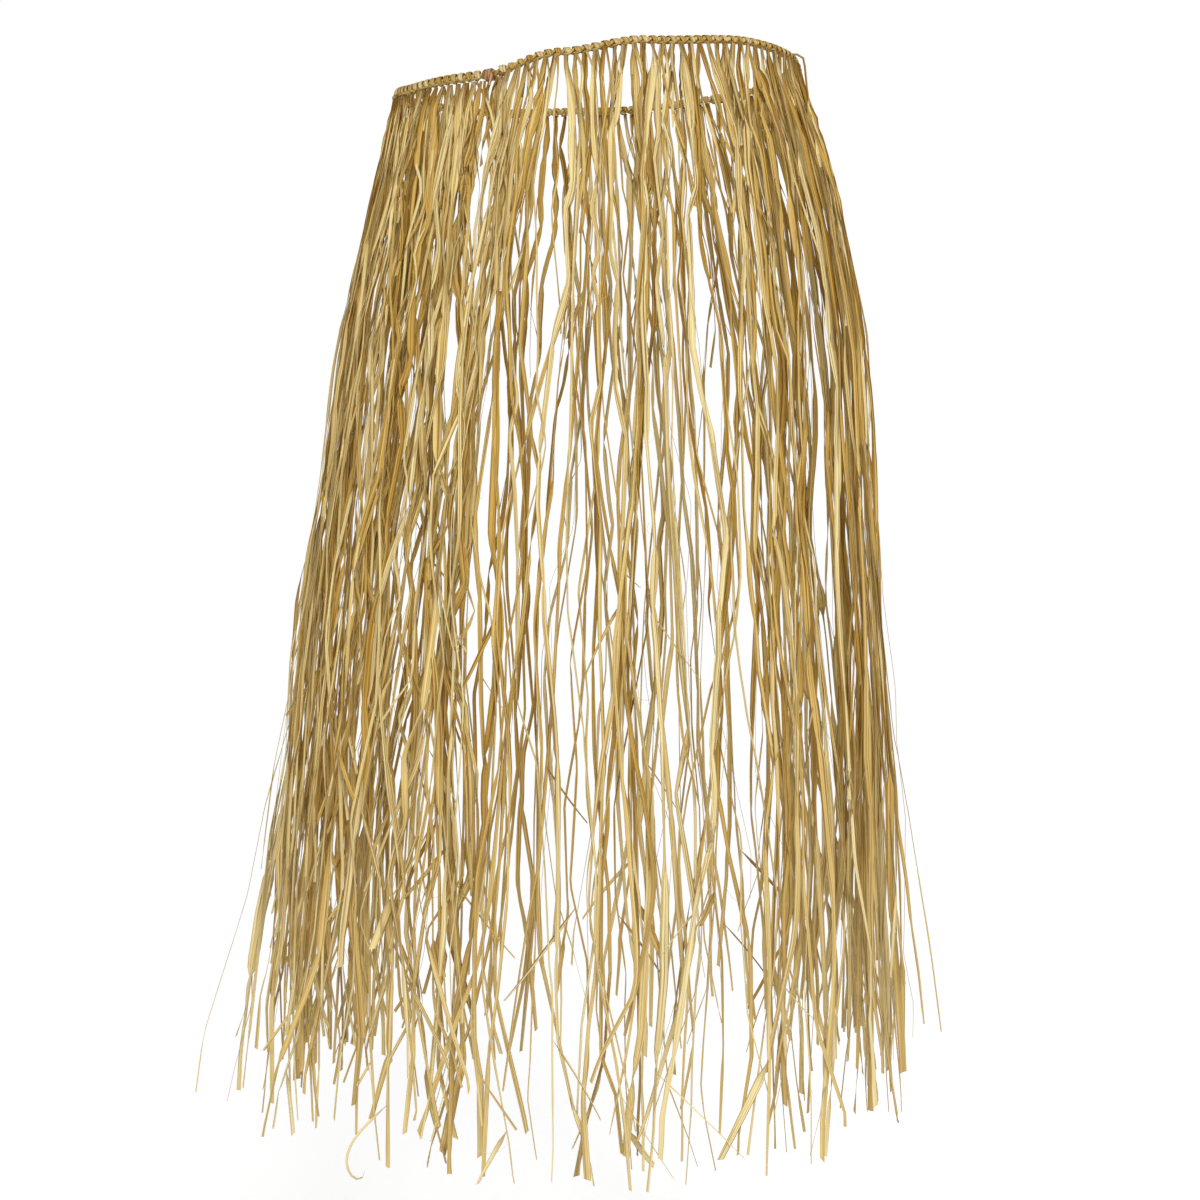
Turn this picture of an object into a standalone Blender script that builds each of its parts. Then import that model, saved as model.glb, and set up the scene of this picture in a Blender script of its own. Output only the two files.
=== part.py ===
"""Raffia grass skirt, as it hangs when it is worn.

A round waist cord is closed by a wrapped tie. Hanks of raffia are knotted on the cord all the way
round, two ribbons to a knot, and hang over the hips in three layers to a ragged hem.

Metres, +Z up. The front of the skirt faces -Y. The origin is the middle of the waist opening, at
the height of the cord. Every "angle" is measured round the waist from the front towards +X.
"""

import math
import random
from collections import namedtuple

import bmesh
import bpy
import numpy as np
from mathutils import Vector

MM = 0.001
FULL_TURN = 2 * math.pi
UP = Vector((0, 0, 1))

# Waist cord: the line through the middle of the cord is an ellipse, seen from above.
WAIST_HALF_WIDTH = 146 * MM
WAIST_HALF_DEPTH = 111 * MM
CORD_RADIUS = 2.3 * MM
CORD_POINTS = 76
CORD_ROUNDING = 2
WAIST_SAMPLES = 1441
CORD_END_GAP = 0.6 * MM
CLEARANCE = 0.3 * MM

# Tie: a thinner strand wound round the two ends of the cord, with one short tail.
TIE_ANGLE = math.radians(-31)
TIE_RADIUS = 1.1 * MM
TIE_ROUNDING = 1
TIE_TURNS = 3
TIE_POINTS_PER_TURN = 12
TIE_TAIL = 20 * MM
TIE_TAIL_POINTS = 4
TIE_TAIL_SWING = 3 * MM
TIE_GAP = 13 * MM

# Knots: they stand in one row outside the cord, in panels that meet round the waist.
PANELS = 12
KNOTS_PER_PANEL = 10
KNOTS = PANELS * KNOTS_PER_PANEL
SECTIONS_PER_KNOT = 3
KNOT_HALF_WIDTH = 2.1 * MM
KNOT_THICKNESS = 3.8 * MM
KNOT_RISE = 3.0 * MM
STRIP_THICKNESS = 2.0 * MM
STRIP_RISE = -2.0 * MM
STRIP_DROP = 6.5 * MM

# Ribbons: neighbours take turns in the inner, middle and outer layer.
RIBBONS_PER_KNOT = 2
RIBBONS = KNOTS * RIBBONS_PER_KNOT
LAYERS = 3
OUTER_LAYER = LAYERS - 1
RIBBON_THICKNESS = 1.2 * MM
RAGGED_HEM = 46 * MM
RIBBON_GAP = 0.7 * MM
ROOM_TOLERANCE = 0.1 * MM
WIDTH_RANGE = (0.72, 1.18)
CUT_SLANT = math.radians(40)
BUNCH_WAVES = (17, 23, 29)
BUNCH_LAYER_PHASE = 2.1
DRIFT_WAVES = (3, 5)
DRIFT_LAYER_PHASE = 2.6
TIE_GAP_CLOSES = 0.24
SEED = 768

# The cord's height above the origin and the longest ribbons that hang from it, in mm, at angles in
# degrees. The cord dips beside the tie.
WaistPoint = namedtuple("WaistPoint", "angle height length")
WAIST_LINE = (
    WaistPoint(-90, -10, 732),
    WaistPoint(-62, -15, 738),
    WaistPoint(-33, -15, 748),
    WaistPoint(-10, -2, 763),
    WaistPoint(14, 7, 776),
    WaistPoint(48, 13, 774),
    WaistPoint(90, 12, 752),
    WaistPoint(135, 6, 744),
    WaistPoint(180, 1, 748),
    WaistPoint(225, -5, 742),
    WaistPoint(270, -10, 732),
)
LONGEST_RIBBON = max(point.length for point in WAIST_LINE) * MM

# Sections of the hanging fringe. share is how far down from the knots, from 0 to 1 at the longest
# ribbons' ends. left, right, front and back are where the outer layer hangs, from the middle, in
# mm. The other columns are in mm too: step from layer to layer, ribbon width, sideways bunch and
# drift. turn is in degrees.
Section = namedtuple("Section", "share left right front back step width bunch drift turn")
SECTIONS = (
    Section(0.026, 155, 155, 119, 120, 2.6, 2.5, 0.0, 0.0, 0),
    Section(0.095, 166, 175, 129, 137, 3.2, 5.4, 2.6, 0.8, 6),
    Section(0.240, 190, 197, 144, 158, 4.6, 6.6, 4.0, 3.0, 14),
    Section(0.460, 214, 209, 161, 173, 6.6, 6.8, 4.6, 6.5, 25),
    Section(0.720, 234, 222, 175, 184, 9.2, 6.2, 5.2, 10.0, 38),
    Section(1.000, 249, 229, 187, 194, 12.0, 5.4, 5.6, 12.5, 54),
)

# Outer ribbons that leave the others below the hips: out and aside are in mm at the hem, and
# short is how much shorter the ribbon is than the longest there.
Stray = namedtuple("Stray", "angle out aside short")
STRAYS = (
    Stray(-92, 52, 0, 0),
    Stray(-84, 18, -10, 8),
    Stray(-103, 20, 12, 0),
    Stray(-52, 14, -26, 0),
    Stray(-14, 15, 24, 0),
    Stray(22, 16, -34, 0),
    Stray(58, 14, 20, 14),
    Stray(84, 42, 6, 60),
    Stray(97, 24, -8, 45),
    Stray(131, 18, 22, 10),
    Stray(166, 22, -24, 26),
    Stray(201, 16, 20, 0),
    Stray(238, 24, -18, 18),
)
STRAY_LEAVES = 0.50

RAFFIA = (0.62, 0.47, 0.24)
RAFFIA_CORD = (0.55, 0.40, 0.19)
RAFFIA_ROUGHNESS = 0.6


def clear_scene():
    for thing in list(bpy.data.objects):
        bpy.data.objects.remove(thing, do_unlink=True)


def raffia_material(name, colour):
    material = bpy.data.materials.new(name)
    material.use_nodes = True
    shader = material.node_tree.nodes["Principled BSDF"]
    shader.inputs["Base Color"].default_value = (*colour, 1)
    shader.inputs["Roughness"].default_value = RAFFIA_ROUGHNESS
    shader.inputs["Metallic"].default_value = 0
    return material


def ease(share):
    """0 to 1, with no slope at either end."""
    share = min(max(share, 0.0), 1.0)
    return share * share * (3 - 2 * share)


def along_waist(angle, column):
    """A column of the waist line at an angle, eased from one row to the next."""
    first = WAIST_LINE[0].angle
    degrees = (math.degrees(angle) - first) % 360 + first
    here, after = next(pair for pair in zip(WAIST_LINE, WAIST_LINE[1:]) if degrees <= pair[1].angle)
    share = ease((degrees - here.angle) / (after.angle - here.angle))
    return (getattr(here, column) * (1 - share) + getattr(after, column) * share) * MM


def waist_height(angle):
    return along_waist(angle, "height")


def outward(angle, half_width, half_depth):
    """Direction straight out of an ellipse at an angle."""
    return Vector((half_depth * math.sin(angle), -half_width * math.cos(angle), 0)).normalized()


def at_waist(angle, out, rise):
    """A point near the cord: out from its middle line, and above it."""
    middle = Vector((WAIST_HALF_WIDTH * math.sin(angle), -WAIST_HALF_DEPTH * math.cos(angle), 0))
    place = middle + outward(angle, WAIST_HALF_WIDTH, WAIST_HALF_DEPTH) * out
    place.z = waist_height(angle) + rise
    return place


def half_sizes(section, angle):
    """Half width and half depth of a section on the side where the angle lies."""
    half_width = section.right if math.sin(angle) > 0 else section.left
    half_depth = section.front if math.cos(angle) > 0 else section.back
    return half_width * MM, half_depth * MM


def metres_per_radian(section, angle):
    half_width, half_depth = half_sizes(section, angle)
    return math.hypot(half_width * math.cos(angle), half_depth * math.sin(angle))


def travelled_round_waist():
    """Angles from the tie all the way round, and how far along the cord each one is."""
    angles = np.linspace(TIE_ANGLE, TIE_ANGLE + FULL_TURN, WAIST_SAMPLES)
    across = WAIST_HALF_WIDTH * np.sin(angles)
    along = -WAIST_HALF_DEPTH * np.cos(angles)
    steps = np.hypot(np.diff(across), np.diff(along))
    return angles, np.concatenate([[0.0], np.cumsum(steps)])


def angles_round_waist(distances):
    """Angles at distances along the cord, measured from the tie."""
    angles, travelled = travelled_round_waist()
    return [float(angle) for angle in np.interp(distances, travelled, angles)]


def waist_length():
    return float(travelled_round_waist()[1][-1])


def tube(name, points, radius, resolution, material):
    """A round strand along points, closed at both ends."""
    line = bpy.data.curves.new(name, "CURVE")
    line.dimensions = "3D"
    line.bevel_depth = radius
    line.bevel_resolution = resolution
    line.use_fill_caps = True
    spline = line.splines.new("POLY")
    spline.points.add(len(points) - 1)
    for point, place in zip(spline.points, points):
        point.co = (*place, 1)
    line.materials.append(material)
    strand = bpy.data.objects.new(name, line)
    bpy.context.collection.objects.link(strand)
    return strand


def make_waist_cord(material):
    """The cord runs from the tie all the way round and back to it."""
    ends = CORD_END_GAP / 2
    distances = np.linspace(ends, waist_length() - ends, CORD_POINTS)
    points = [at_waist(angle, 0, 0) for angle in angles_round_waist(distances)]
    return tube("waist_cord", points, CORD_RADIUS, CORD_ROUNDING, material)


def make_tie(material):
    """Turns wound round the ends of the cord, then a tail that hangs in front."""
    scale = math.hypot(WAIST_HALF_WIDTH * math.cos(TIE_ANGLE), WAIST_HALF_DEPTH * math.sin(TIE_ANGLE))
    wound_radius = CORD_RADIUS + TIE_RADIUS + 2 * CLEARANCE
    pitch = 2 * TIE_RADIUS + CLEARANCE
    points = []
    for step in range(TIE_TURNS * TIE_POINTS_PER_TURN + 1):
        turns = step / TIE_POINTS_PER_TURN
        wound = turns * FULL_TURN
        angle = TIE_ANGLE + pitch * (turns - TIE_TURNS / 2) / scale
        points.append(at_waist(angle, wound_radius * math.cos(wound), wound_radius * math.sin(wound)))
    last = points[-1]
    out = outward(TIE_ANGLE, WAIST_HALF_WIDTH, WAIST_HALF_DEPTH)
    for step in range(1, TIE_TAIL_POINTS + 1):
        share = step / TIE_TAIL_POINTS
        points.append(last + out * TIE_TAIL_SWING * ease(share) - UP * TIE_TAIL * share)
    return tube("waist_tie", points, TIE_RADIUS, TIE_ROUNDING, material)


def knot_angles():
    """(start, middle, end) angle of every knot, from one side of the tie round to the other."""
    pitch = (waist_length() - TIE_GAP) / KNOTS
    middles = [TIE_GAP / 2 + pitch * (knot + 0.5) for knot in range(KNOTS)]
    return [
        tuple(angles_round_waist([middle - KNOT_HALF_WIDTH, middle, middle + KNOT_HALF_WIDTH]))
        for middle in middles
    ]


def layer_point(section, layer, angle):
    """Where a ribbon of a layer hangs at a section, and the directions out and aside there."""
    half_width, half_depth = half_sizes(section, angle)
    out = outward(angle, half_width, half_depth)
    centre = Vector((half_width * math.sin(angle), -half_depth * math.cos(angle), 0))
    centre -= out * section.step * MM * (OUTER_LAYER - layer)
    return centre, out, UP.cross(out)


def make_room(angles, widths, section, layer):
    """Nudges the ribbons of one layer apart until each has room for its width."""
    crowded = True
    while crowded:
        crowded = False
        for here in range(len(angles)):
            after = (here + 1) % len(angles)
            centre, _, aside = layer_point(section, layer, angles[here])
            distance = (layer_point(section, layer, angles[after])[0] - centre).dot(aside)
            short = (widths[here] + widths[after]) / 2 + RIBBON_GAP - distance
            if short > ROOM_TOLERANCE:
                nudge = short / metres_per_radian(section, angles[here]) / 2
                angles[here] -= nudge
                angles[after] += nudge
                crowded = True
    return angles


def wander(layer, angle, section, shake):
    """How far a ribbon has strayed sideways: small bunches, and a slow drift of the whole layer."""
    bunch = sum(math.sin(waves * angle + layer * BUNCH_LAYER_PHASE + waves) for waves in BUNCH_WAVES)
    drift = sum(math.sin(waves * angle + layer * DRIFT_LAYER_PHASE + waves) for waves in DRIFT_WAVES)
    return (section.bunch * (bunch / len(BUNCH_WAVES) + shake) + section.drift * drift) * MM


class Ribbon:
    """One ribbon: its layer, its own width and length, and its angle at each section."""

    def __init__(self, number, start, dice):
        self.layer = number % LAYERS
        self.start = start
        self.width = dice.uniform(*WIDTH_RANGE)
        self.length = along_waist(start, "length") - RAGGED_HEM * dice.random() ** 2
        self.turn = dice.uniform(-1, 1)
        self.shakes = [dice.uniform(-1, 1) for _ in SECTIONS]
        self.slant = dice.uniform(-1, 1) * CUT_SLANT
        self.angles = []
        self.stray = None

    def hang(self, row):
        """Centre, sideways and outward directions of the full length at one section."""
        section = SECTIONS[row]
        centre, out, side = layer_point(section, self.layer, self.angles[row])
        if self.stray:
            leaving = ease((section.share - STRAY_LEAVES) / (1 - STRAY_LEAVES))
            centre += out * self.stray.out * MM * leaving
            centre += side * self.stray.aside * MM * leaving ** 2
        centre.z = waist_height(self.start) - STRIP_DROP - LONGEST_RIBBON * section.share
        turned = math.radians(section.turn) * self.turn
        across = side * math.cos(turned) + out * math.sin(turned)
        facing = out * math.cos(turned) - side * math.sin(turned)
        return centre, across, facing

    def corners(self, row):
        """Inner left, inner right, outer right and outer left corner at one section."""
        centre, across, facing = self.hang(row)
        half = across * SECTIONS[row].width * self.width * MM / 2
        deep = facing * RIBBON_THICKNESS / 2
        cut = Vector((0, 0, 0))
        if row == len(SECTIONS) - 1:
            before = SECTIONS[row - 1].share
            kept = (self.length / LONGEST_RIBBON - before) / (1 - before)
            centre = self.hang(row - 1)[0].lerp(centre, kept)
            cut.z = half.length * math.tan(self.slant)
        return (
            centre - half - deep - cut,
            centre + half - deep + cut,
            centre + half + deep + cut,
            centre - half + deep - cut,
        )


def even_angles(gap):
    """Angles of all the ribbons, evenly spaced round a waist with a gap at the tie."""
    pitch = (waist_length() - gap) / RIBBONS
    return angles_round_waist([gap / 2 + pitch * (number + 0.5) for number in range(RIBBONS)])


def lay_out_ribbons():
    """Every ribbon in order round the waist, with neighbours in a layer kept apart."""
    dice = random.Random(SEED)
    starts = even_angles(TIE_GAP)
    closed = even_angles(0)
    ribbons = [Ribbon(number, start, dice) for number, start in enumerate(starts)]
    for row, section in enumerate(SECTIONS):
        closing = ease(section.share / TIE_GAP_CLOSES)
        for layer in range(LAYERS):
            members = ribbons[layer::LAYERS]
            angles = []
            for ribbon, start, even in zip(members, starts[layer::LAYERS], closed[layer::LAYERS]):
                angle = start + (even - start) * closing
                aside = wander(layer, angle, section, ribbon.shakes[row])
                angles.append(angle + aside / metres_per_radian(section, angle))
            widths = [ribbon.width * section.width * MM for ribbon in members]
            for ribbon, angle in zip(members, make_room(angles, widths, section, layer)):
                ribbon.angles.append(angle)
    outer = ribbons[OUTER_LAYER::LAYERS]
    for stray in STRAYS:
        chosen = min(outer, key=lambda ribbon: apart(ribbon.start, math.radians(stray.angle)))
        chosen.stray = stray
        chosen.length = along_waist(chosen.start, "length") - stray.short * MM
    return ribbons


def apart(first, second):
    """The smaller angle between two angles."""
    return abs((first - second + math.pi) % FULL_TURN - math.pi)


def strip_corners(angle, thickness, rise):
    """Inner bottom, outer bottom, outer top and inner top corner of the knotted strip."""
    inner = CORD_RADIUS + CLEARANCE
    return (
        at_waist(angle, inner, -STRIP_DROP),
        at_waist(angle, inner + thickness, -STRIP_DROP),
        at_waist(angle, inner + thickness, rise),
        at_waist(angle, inner, rise),
    )


def strip_sections(knots):
    """Corners of the strip at the start, middle and end of each knot of a panel."""
    rows = []
    for start, middle, end in knots:
        rows.append(strip_corners(start, STRIP_THICKNESS, STRIP_RISE))
        rows.append(strip_corners(middle, KNOT_THICKNESS, KNOT_RISE))
        rows.append(strip_corners(end, STRIP_THICKNESS, STRIP_RISE))
    return rows


def extrude_to(mesh, face, label, corners):
    """Extrudes a four-sided face and puts each new corner where its label says."""
    face = bmesh.ops.extrude_discrete_faces(mesh, faces=[face])["faces"][0]
    for vertex in face.verts:
        vertex.co = corners[vertex[label]]
    return face


def extrude_strip(mesh, label, rows):
    """The strip, capped at both ends. Gives the inner and outer bottom vertex of each section."""
    first = [mesh.verts.new(place) for place in rows[0]]
    for corner, vertex in enumerate(first):
        vertex[label] = corner
    face = mesh.faces.new(first)
    bottoms = [first[:2]]
    for row in rows[1:]:
        face = extrude_to(mesh, face, label, row)
        bottoms.append(sorted(face.verts, key=lambda vertex: vertex[label])[:2])
    open_edges = [edge for edge in mesh.edges if edge.is_boundary]
    bmesh.ops.holes_fill(mesh, edges=open_edges, sides=4)
    return bottoms


def extrude_ribbon(mesh, label, before, after, ribbon):
    """Draws a ribbon down out of the strip's underside, between two sections of the strip."""
    ring = [before[0], after[0], after[1], before[1]]
    face = next(face for face in before[0].link_faces if set(face.verts) == set(ring))
    for corner, vertex in enumerate(ring):
        vertex[label] = corner
    for row in range(len(SECTIONS)):
        face = extrude_to(mesh, face, label, ribbon.corners(row))


def make_panel(name, knots, ribbons, material):
    """One strip of knots with its ribbons, as one closed body."""
    mesh = bmesh.new()
    label = mesh.verts.layers.int.new("corner")
    bottoms = extrude_strip(mesh, label, strip_sections(knots))
    for number, ribbon in enumerate(ribbons):
        knot, half = divmod(number, RIBBONS_PER_KNOT)
        section = SECTIONS_PER_KNOT * knot + half
        extrude_ribbon(mesh, label, bottoms[section], bottoms[section + 1], ribbon)
    bmesh.ops.recalc_face_normals(mesh, faces=mesh.faces)
    data = bpy.data.meshes.new(name)
    mesh.to_mesh(data)
    mesh.free()
    data.materials.append(material)
    panel = bpy.data.objects.new(name, data)
    bpy.context.collection.objects.link(panel)
    return panel


def main():
    clear_scene()
    fringe = raffia_material("raffia_fringe", RAFFIA)
    cord = raffia_material("raffia_cord", RAFFIA_CORD)
    make_waist_cord(cord)
    make_tie(cord)
    knots = knot_angles()
    ribbons = lay_out_ribbons()
    ribbons_per_panel = KNOTS_PER_PANEL * RIBBONS_PER_KNOT
    for panel in range(PANELS):
        own_knots = knots[panel * KNOTS_PER_PANEL:(panel + 1) * KNOTS_PER_PANEL]
        own_ribbons = ribbons[panel * ribbons_per_panel:(panel + 1) * ribbons_per_panel]
        make_panel(f"fringe_{panel + 1:02d}", own_knots, own_ribbons, fringe)


main()
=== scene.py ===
# %% [markdown]
# # A raffia grass skirt
#
# Raffia is the skin of a palm leaf, torn into ribbons and dried. A skirt of it has no cloth at all:
# the ribbons are folded over a waist cord, knotted there, and left to hang. This lesson dresses the
# fixed frame of such a skirt. The frame knows the real sizes, so it is loaded first.

# %% Load the frame
import copy
import math
import random
from collections import namedtuple

import bmesh
import bpy
import numpy as np
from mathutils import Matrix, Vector


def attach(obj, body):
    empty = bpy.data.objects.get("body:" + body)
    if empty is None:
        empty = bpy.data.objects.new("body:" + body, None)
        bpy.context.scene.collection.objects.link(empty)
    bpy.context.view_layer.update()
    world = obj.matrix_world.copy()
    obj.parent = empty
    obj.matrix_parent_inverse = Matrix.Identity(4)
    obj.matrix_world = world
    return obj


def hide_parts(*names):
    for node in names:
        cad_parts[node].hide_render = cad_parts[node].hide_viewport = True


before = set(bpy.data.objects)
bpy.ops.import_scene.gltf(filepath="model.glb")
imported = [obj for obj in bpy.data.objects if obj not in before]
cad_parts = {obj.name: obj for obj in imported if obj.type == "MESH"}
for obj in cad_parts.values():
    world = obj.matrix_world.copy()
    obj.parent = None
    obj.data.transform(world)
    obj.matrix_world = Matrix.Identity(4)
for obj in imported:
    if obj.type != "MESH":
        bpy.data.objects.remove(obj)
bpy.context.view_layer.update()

MM = 0.001
FULL_TURN = 2 * math.pi
UP = Vector((0, 0, 1))


# %% [markdown]
# ## Camera
#
# The skirt is seen level, from straight in front, at about the height of its middle. A real camera
# at 1.8 m makes the front ribbons a little larger than the back ones, so the distance matters as
# much as the lens. The lens follows from how wide the view has to be at the middle of the skirt.

# %% Camera
VIEW_DISTANCE = 1.8
VIEW_WIDTH = 8 / 9
VIEW_MIDDLE = (0.0022, -0.3830)
SENSOR = 36

camera = bpy.data.objects.new("camera", bpy.data.cameras.new("camera"))
bpy.context.scene.collection.objects.link(camera)
camera.data.sensor_width = SENSOR
camera.data.lens = SENSOR * VIEW_DISTANCE / VIEW_WIDTH
camera.location = (VIEW_MIDDLE[0], -VIEW_DISTANCE, VIEW_MIDDLE[1])
camera.rotation_euler = (math.radians(90), 0, 0)
bpy.context.scene.camera = camera
print("lens: %.1f mm" % camera.data.lens)

# %% [markdown]
# ## Waist line
#
# From above, the waist cord is an ellipse. It isn't level: it dips at one side, by the tie. It could
# be drawn as a curve by hand, but then nothing else could be measured from it. So a table gives its
# height at a few angles, and the longest ribbons there, and both are eased in between.
# Angles go round the waist from the front towards the right. They are in degrees, and sizes in mm.
# The frame was made from these same sizes, so each ribbon made here lies where the frame has it.

# %% Waist line
WAIST_HALF_WIDTH = 146 * MM
WAIST_HALF_DEPTH = 111 * MM

WaistPoint = namedtuple("WaistPoint", "angle height length")
WAIST_LINE = (
    WaistPoint(-90, -10, 732),
    WaistPoint(-62, -15, 738),
    WaistPoint(-33, -15, 748),
    WaistPoint(-10, -2, 763),
    WaistPoint(14, 7, 776),
    WaistPoint(48, 13, 774),
    WaistPoint(90, 12, 752),
    WaistPoint(135, 6, 744),
    WaistPoint(180, 1, 748),
    WaistPoint(225, -5, 742),
    WaistPoint(270, -10, 732),
)
LONGEST_RIBBON = max(point.length for point in WAIST_LINE) * MM


def ease(share):
    """0 to 1, with no slope at either end."""
    share = np.clip(share, 0, 1)
    return share * share * (3 - 2 * share)


def along_waist(angle, column):
    """A column of the waist line at an angle, eased from one row to the next."""
    first = WAIST_LINE[0].angle
    degrees = (math.degrees(angle) - first) % 360 + first
    here, after = next(pair for pair in zip(WAIST_LINE, WAIST_LINE[1:]) if degrees <= pair[1].angle)
    share = ease((degrees - here.angle) / (after.angle - here.angle))
    return (getattr(here, column) * (1 - share) + getattr(after, column) * share) * MM


def outward(angle, half_width=WAIST_HALF_WIDTH, half_depth=WAIST_HALF_DEPTH):
    """Direction straight out of an ellipse at an angle."""
    return Vector((half_depth * math.sin(angle), -half_width * math.cos(angle), 0)).normalized()


def at_waist(angle, out, rise):
    """A point near the cord: out from its middle line, and above it."""
    middle = Vector((WAIST_HALF_WIDTH * math.sin(angle), -WAIST_HALF_DEPTH * math.cos(angle), 0))
    place = middle + outward(angle) * out
    place.z = along_waist(angle, "height") + rise
    return place


print("longest ribbon: %.0f mm" % (LONGEST_RIBBON / MM))

# %% [markdown]
# ## Distances round the waist
#
# Knots are evenly spaced along the cord, but equal angles on an ellipse aren't equal distances. So
# the waist is walked once in small steps, starting at the tie, and the distance travelled is kept
# for each angle. Reading that table backwards gives the angle at any distance.

# %% Distances round the waist
TIE_ANGLE = math.radians(-31)
WAIST_SAMPLES = 1441

WAIST_ANGLES = np.linspace(TIE_ANGLE, TIE_ANGLE + FULL_TURN, WAIST_SAMPLES)
WAIST_STEPS = np.hypot(
    np.diff(WAIST_HALF_WIDTH * np.sin(WAIST_ANGLES)), np.diff(WAIST_HALF_DEPTH * np.cos(WAIST_ANGLES))
)
WAIST_TRAVELLED = np.concatenate([[0.0], np.cumsum(WAIST_STEPS)])
WAIST_LENGTH = float(WAIST_TRAVELLED[-1])


def angle_at(distance):
    """The angle at a distance along the cord, measured from the tie."""
    return float(np.interp(distance, WAIST_TRAVELLED, WAIST_ANGLES))


print("waist cord: %.0f mm round" % (WAIST_LENGTH / MM))

# %% [markdown]
# ## Hanging layers
#
# The ribbons hang in three layers, one inside the other. Six sections, from the knots down to the
# hem, give the outer layer's size on each side, and the step from one layer to the next. They also
# say how wide a ribbon's room is there, how far it may stray sideways, and how far it is turned.
# Sizes are in mm, turns in degrees, and a share is of the longest ribbon.

# %% Hanging layers
LAYERS = 3
OUTER_LAYER = LAYERS - 1

Section = namedtuple("Section", "share left right front back step width bunch drift turn")
SECTIONS = (
    Section(0.026, 155, 155, 119, 120, 2.6, 2.5, 0.0, 0.0, 0),
    Section(0.095, 166, 175, 129, 137, 3.2, 5.4, 2.6, 0.8, 6),
    Section(0.240, 190, 197, 144, 158, 4.6, 6.6, 4.0, 3.0, 14),
    Section(0.460, 214, 209, 161, 173, 6.6, 6.8, 4.6, 6.5, 25),
    Section(0.720, 234, 222, 175, 184, 9.2, 6.2, 5.2, 10.0, 38),
    Section(1.000, 249, 229, 187, 194, 12.0, 5.4, 5.6, 12.5, 54),
)


def half_sizes(section, angle):
    """Half width and half depth of a section on the side where the angle lies."""
    half_width = section.right if math.sin(angle) > 0 else section.left
    half_depth = section.front if math.cos(angle) > 0 else section.back
    return half_width * MM, half_depth * MM


def metres_per_radian(angle, half_width, half_depth):
    """How far an ellipse goes round for each radian, at an angle."""
    return math.hypot(half_width * math.cos(angle), half_depth * math.sin(angle))


def layer_point(section, layer, angle):
    """Where a ribbon of a layer hangs at a section, and the direction aside there."""
    half_width, half_depth = half_sizes(section, angle)
    out = outward(angle, half_width, half_depth)
    centre = Vector((half_width * math.sin(angle), -half_depth * math.cos(angle), 0))
    centre -= out * section.step * MM * (OUTER_LAYER - layer)
    return centre, UP.cross(out)


print("hem: %d mm wide" % (SECTIONS[-1].left + SECTIONS[-1].right))

# %% [markdown]
# ## Parts of the skirt
#
# The raffia isn't the same all the way round. On the wearer's right side it is dense, brown, sharply
# kinked and ragged. At the front and the back it is open, with gaps, and the second ribbon of many
# pairs is missing or thin. Each part is given by its first and last angle, and by what differs in it.

# %% Parts of the skirt
# aside and growth: how far a fold steps aside, in mm at the knot and more at the hem. spread: how much
# further apart folds are lower down. left_out: share of the second ribbons that are missing. strips
# and bits: how many narrow strips and torn bits a lock may get. leaves: share of locks with a leaf.
Kinks = namedtuple("Kinks", "aside growth spread pinch")
Part = namedtuple(
    "Part", "first last is_open left_out narrower knot_size raggedness browner kinks strips leaves bits"
)
EVEN = Part(
    0, 0, is_open=False, left_out=0.0, narrower=1.0, knot_size=1.0, raggedness=1.0, browner=0.0,
    kinks=Kinks(3.0, 6.0, 2.6, 0.6), strips=(0, 1, 1, 2), leaves=0.07, bits=(0, 0, 0, 1),
)
DENSE_SIDE = EVEN._replace(
    first=-112, last=-26, knot_size=1.25, raggedness=2.3, browner=0.05,
    kinks=Kinks(3.5, 12.0, 1.3, 0.75), strips=(1, 1, 2, 2), leaves=0.3, bits=(0, 1, 1, 2),
)
OPEN_FRONT = EVEN._replace(first=-24, last=76, is_open=True, left_out=0.40, strips=(0, 0, 1))
OPEN_BACK = OPEN_FRONT._replace(first=136, last=218, left_out=0.75, narrower=0.8)


def part_at(angle):
    """The part of the skirt at an angle round the waist."""
    for part in (DENSE_SIDE, OPEN_FRONT, OPEN_BACK):
        if (angle - math.radians(part.first)) % FULL_TURN < math.radians(part.last - part.first):
            return part
    return EVEN


print("dense side: %d degrees of the waist" % (DENSE_SIDE.last - DENSE_SIDE.first))

# %% [markdown]
# ## Straying and making room
#
# Hung evenly, the ribbons would look like a curtain. So each strays a little: together with its
# neighbours, in small bunches and in a slow drift of the whole layer, and by itself. Then the
# ribbons of a layer are nudged apart until each has room for its width.

# %% Straying and making room
LANE_GAP = 0.7 * MM
ROOM_TOLERANCE = 0.1 * MM
BUNCH_WAVES = (17, 23, 29)
BUNCH_LAYER_PHASE = 2.1
DRIFT_WAVES = (3, 5)
DRIFT_LAYER_PHASE = 2.6


def strayed(layer, angle, section, shake):
    """How far a lane has strayed sideways: small bunches, and a slow drift of the whole layer."""
    bunch = sum(math.sin(waves * angle + layer * BUNCH_LAYER_PHASE + waves) for waves in BUNCH_WAVES)
    drift = sum(math.sin(waves * angle + layer * DRIFT_LAYER_PHASE + waves) for waves in DRIFT_WAVES)
    return (section.bunch * (bunch / len(BUNCH_WAVES) + shake) + section.drift * drift) * MM


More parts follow.
